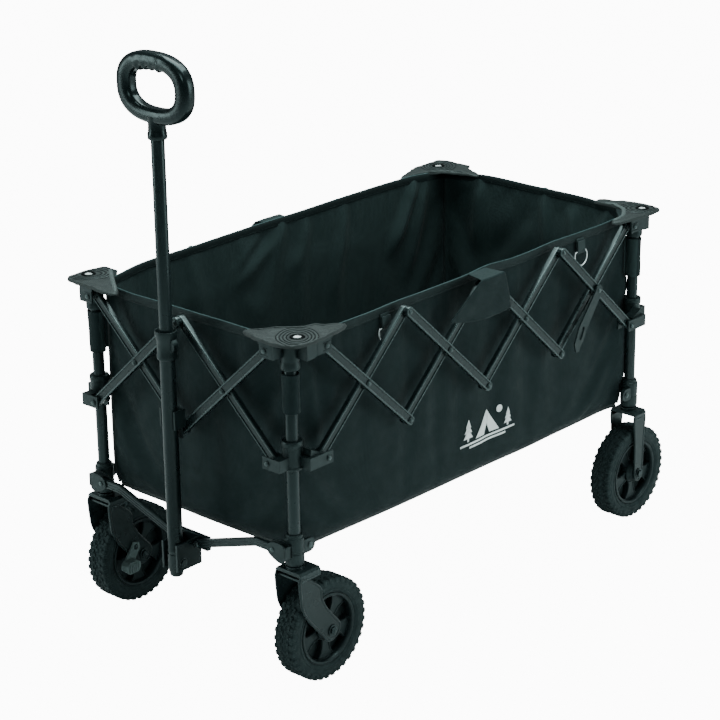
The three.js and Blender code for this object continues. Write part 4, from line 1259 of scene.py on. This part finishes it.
# a plain camping mark: a tent between two trees over two level lines, under a small sun
mark = [[(-0.62, -0.30), (-0.16, -0.30), (0.0, 0.06), (0.0, 0.56)], [(0.0, 0.56), (0.0, 0.06), (0.16, -0.30), (0.62, -0.30)]]
for c, k in ((-1.02, 1.0), (1.06, 0.82)):
    for lo, hi, wd in ((-0.18, 0.16, 0.24), (0.02, 0.34, 0.19), (0.20, 0.50, 0.13)):
        mark.append([(c - wd * k, -0.30 + (lo + 0.30) * k), (c + wd * k, -0.30 + (lo + 0.30) * k), (c, -0.30 + (hi + 0.30) * k)])
    mark.append([(c - 0.04, -0.30), (c + 0.04, -0.30), (c + 0.04, -0.30 + 0.12 * k), (c - 0.04, -0.30 + 0.12 * k)])
mark.append(circle(0.62, 0.42, 0.13, 22))
for h, wd in ((-0.40, 1.42), (-0.53, 0.95)):
    mark.append([(-wd, h - 0.035), (wd, h - 0.035), (wd, h + 0.035), (-wd, h + 0.035)])
label = decal("left_wall_print", "left", mark, 52, (-38, 309), 0.0, ("print",), "print", lift=0.8)

hardware = {"left": [label], "right": []}
for side, s in (("left", 1), ("right", -1)):
    # hanging rings on webbing tabs below the rim
    for idx, u in enumerate((235.0, -290.0)):
        top = wall_point(side, u, 596, 1.2)
        g = Geo()
        sec = [(-9.5, -0.9), (9.5, -0.9), (9.5, 0.9), (-9.5, 0.9)]
        yb = abs(top[1]) + 1.6
        vv, ff = [], []
        path = [(yb, 590), (yb + 0.6, 582), (yb + 0.8, 574), (yb + 1.0, 566), (yb + 2.8, 563), (yb + 4.2, 566), (yb + 3.8, 574), (yb + 3.2, 586)]
        for y, z in path:
            for a in (-10.5, 10.5):
                vv.append((u + a, s * (y - 0.8), z))
            for a in (10.5, -10.5):
                vv.append((u + a, s * (y + 0.8), z))
        m4 = len(path)
        for i in range(m4 - 1):
            ff += [(4 * i + j, 4 * i + (j + 1) % 4, 4 * i + 4 + (j + 1) % 4, 4 * i + 4 + j) for j in range(4)]
        ff += [(0, 1, 2, 3), (4 * m4 - 1, 4 * m4 - 2, 4 * m4 - 3, 4 * m4 - 4)]
        g.add(vv, ff, 0)
        dpts = [(u - 15.5, 566), (u + 15.5, 566)] + [(u + 17.5 * math.cos(t), 558.5 + 18 * math.sin(t)) for t in np.linspace(0.12, -math.pi - 0.12, 25)]
        tube(g, [(x, s * (yb + 2.4 + (566 - z) * 0.10), z) for x, z in dpts], 1.1, 10, closed=True, m=1)
        o = make(f"{side}_ring_tab_{idx + 1}", g, None, ("webbing", "bright_wire"), (), "webbing", sharp=50)
        hardware[side].append(with_wall(o, side))
    # gusset flap that covers the middle upper pivot
    NU, NV = 29, 25
    vv = []
    for j in range(NV):
        q = j / (NV - 1)
        shelf, drop = min(1.0, q / 0.3), max(0.0, (q - 0.3) / 0.7)
        for i in range(NU):
            p = i / (NU - 1)
            left_u = 20 + 12 * shelf + 78 * drop**0.9
            right_u = -24 - 6 * shelf - 22 * drop
            u = left_u + (right_u - left_u) * p
            zb = 546 + (531 - 546) * p - 9 * math.sin(math.pi * p)
            z = 603.5 - 1.0 * shelf - 2.0 * ease(shelf) + (zb - 600.5) * drop
            z -= 2.5 * math.exp(-((drop - 0.0) / 0.08) ** 2) * (1 - ease(shelf * 0.9))
            yy = 225.5 + 38.5 * ease(shelf) ** 0.8 - 3.5 * ease((drop - 0.5) / 0.5)
            yy += 1.6 * noise.noise(Vector((u / 30, z / 34, 0.3))) * ease(drop * 3) + 1.6 * math.exp(-(((u - 2) / 22) ** 2)) * math.exp(-(drop / 0.25) ** 2) * shelf
            vv.append((u, s * yy, z))
    ff = [(j * NU + i, j * NU + i + 1, (j + 1) * NU + i + 1, (j + 1) * NU + i) for j in range(NV - 1) for i in range(NU - 1)]
    g = Geo().add(vv, ff)
    o = make(f"{side}_middle_flap", g, None, ("basket_fabric",), (), "basket_fabric", sub=1, solid=1.4, sharp=180)
    with_wall(o, side)
    hardware[side].append(o)

# floor: two padded boards in a fabric sleeve, seamed round and across
for side, s in (("left", 1), ("right", -1)):
    g = Geo()
    NX, NY = 71, 19
    x0, x1, y0, y1 = -434.0, 434.0, 1.6, 205.0
    def floor_z(x, y, top):
        e = min(x - x0, x1 - x, y - y0, y1 - y)
        z = 229.2 + (1 if top else -1) * (2.6 * ease(e / 9) + 0.35)
        for c in (-290, -145, 0, 145, 290):
            z -= (1 if top else -1) * 1.2 * math.exp(-(((x - c) / 2.6) ** 2))
        z += 0.5 * noise.noise(Vector((x / 40, s * y / 40, 5.0))) * (1 if top else 0.4)
        return z
    vv = []
    xs = np.unique(np.concatenate([np.linspace(x0, x1, NX), [x0 + 2, x0 + 5, x1 - 2, x1 - 5]] + [[c - 3, c - 1.2, c, c + 1.2, c + 3] for c in (-290, -145, 0, 145, 290)]))
    ys = np.unique(np.concatenate([np.linspace(y0, y1, NY), [y0 + 2, y0 + 5, y1 - 2, y1 - 5]]))
    cut = lambda x, y: y if abs(x) < 412 or y < 183 else min(y, 205 - (abs(x) - 412) * 1.0)
    for top in (True, False):
        for x in xs:
            for y in ys:
                yy = cut(x, y)
                vv.append((x, s * yy, floor_z(x, min(yy, 204.9), top)))
    n, m = len(xs), len(ys)
    base = n * m
    ff = []
    for i in range(n - 1):
        for j in range(m - 1):
            q = (i * m + j, i * m + j + 1, (i + 1) * m + j + 1, (i + 1) * m + j)
            ff += [q, tuple(k + base for k in reversed(q))]
    edge = [i * m for i in range(n)] + [(n - 1) * m + j for j in range(1, m)] + [i * m + m - 1 for i in range(n - 2, -1, -1)] + [j for j in range(m - 2, 0, -1)]
    for a, b in zip(edge, edge[1:] + edge[:1]):
        ff.append((a, b, b + base, a + base))
    g.add(vv, ff)
    o = make(f"basket_floor_{side}_board", g, f"basket_floor_{side}", ("basket_fabric",), (f"basket_floor_{side}",), "basket_fabric", sharp=60)
    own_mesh(o)

# ------------------------------------------------------------------ stage


def stage_material(name, color, glow):
    m = bpy.data.materials.new(name)
    m.use_nodes = True
    nt = m.node_tree
    b = nt.nodes["Principled BSDF"]
    b.inputs["Base Color"].default_value = (*color, 1)
    b.inputs["Roughness"].default_value = 0.9
    b.inputs["Specular IOR Level"].default_value = 0.1
    e = nt.nodes.new("ShaderNodeEmission")
    e.inputs["Color"].default_value = (1, 1, 1, 1)
    e.inputs["Strength"].default_value = glow
    lp, mx = nt.nodes.new("ShaderNodeLightPath"), nt.nodes.new("ShaderNodeMixShader")
    f = nt.nodes.new("ShaderNodeMath")
    f.operation = "MULTIPLY"
    f.inputs[1].default_value = 0.86
    nt.links.new(lp.outputs["Is Camera Ray"], f.inputs[0])
    nt.links.new(f.outputs[0], mx.inputs["Fac"])
    nt.links.new(b.outputs[0], mx.inputs[1])
    nt.links.new(e.outputs[0], mx.inputs[2])
    nt.links.new(mx.outputs[0], nt.nodes["Material Output"].inputs["Surface"])
    return m


me = bpy.data.meshes.new("floor")
me.from_pydata([(-9, -9, -0.002), (9, -9, -0.002), (9, 9, -0.002), (-9, 9, -0.002)], [], [(0, 1, 2, 3)])
me.materials.append(stage_material("studio_floor", (0.86, 0.87, 0.87), 13.6))
floor = bpy.data.objects.new("studio_floor", me)
scene.collection.objects.link(floor)

world = bpy.data.worlds.new("studio")
world.use_nodes = True
nt = world.node_tree
bg = nt.nodes["Background"]
bg.inputs["Color"].default_value = (0.82, 1.0, 1.0, 1)
bg.inputs["Strength"].default_value = 0.16
bg2 = nt.nodes.new("ShaderNodeBackground")
bg2.inputs["Color"].default_value = (1, 1, 1, 1)
bg2.inputs["Strength"].default_value = 12
lp, mx = nt.nodes.new("ShaderNodeLightPath"), nt.nodes.new("ShaderNodeMixShader")
nt.links.new(lp.outputs["Is Camera Ray"], mx.inputs["Fac"])
nt.links.new(bg.outputs[0], mx.inputs[1])
nt.links.new(bg2.outputs[0], mx.inputs[2])
nt.links.new(mx.outputs[0], nt.nodes["World Output"].inputs["Surface"])
scene.world = world


def area(name, at, to, size, power):
    d = bpy.data.lights.new(name, "AREA")
    d.shape, d.size, d.size_y, d.energy = "RECTANGLE", size[0], size[1], power
    d.color = (0.87, 1.0, 0.99)
    o = bpy.data.objects.new(name, d)
    o.location = at
    o.rotation_mode = "QUATERNION"
    o.rotation_quaternion = (Vector(to) - Vector(at)).to_track_quat("-Z", "Y")
    scene.collection.objects.link(o)
    return o


area("overhead", (-0.3, -0.1, 3.0), (-0.1, 0, 0.4), (2.4, 1.8), 175)
area("left_box", (2.7, -2.5, 1.3), (0.1, 0, 0.5), (0.9, 2.2), 56)
area("right_box", (-1.9, 3.3, 1.3), (0, 0, 0.45), (1.1, 2.2), 62)
area("front_fill", (2.6, 1.6, 2.6), (-0.3, -0.1, 0.5), (0.9, 0.9), 24)

# camera: three-quarter view from the front left, long lens
az, el, roll = math.radians(132.314), math.radians(20.4236), math.radians(-0.7375)
back = Vector((math.sin(az) * math.cos(el), -math.cos(az) * math.cos(el), math.sin(el)))
target = Vector((-0.1074 + SHIFT / 1000, -0.139, 0.3231))
fwd = -back
right = fwd.cross(Vector((0, 0, 1))).normalized()
up = right.cross(fwd)
right, up = math.cos(roll) * right + math.sin(roll) * up, -math.sin(roll) * right + math.cos(roll) * up
cam = bpy.data.cameras.new("camera")
cam.sensor_width, cam.lens = 36.0, 114.41
cam.clip_start, cam.clip_end = 0.1, 60
camera = bpy.data.objects.new("camera", cam)
place = Matrix((right, up, back)).transposed().to_4x4()
place.translation = target + back * 4.26
camera.matrix_world = place
scene.collection.objects.link(camera)
scene.camera = camera
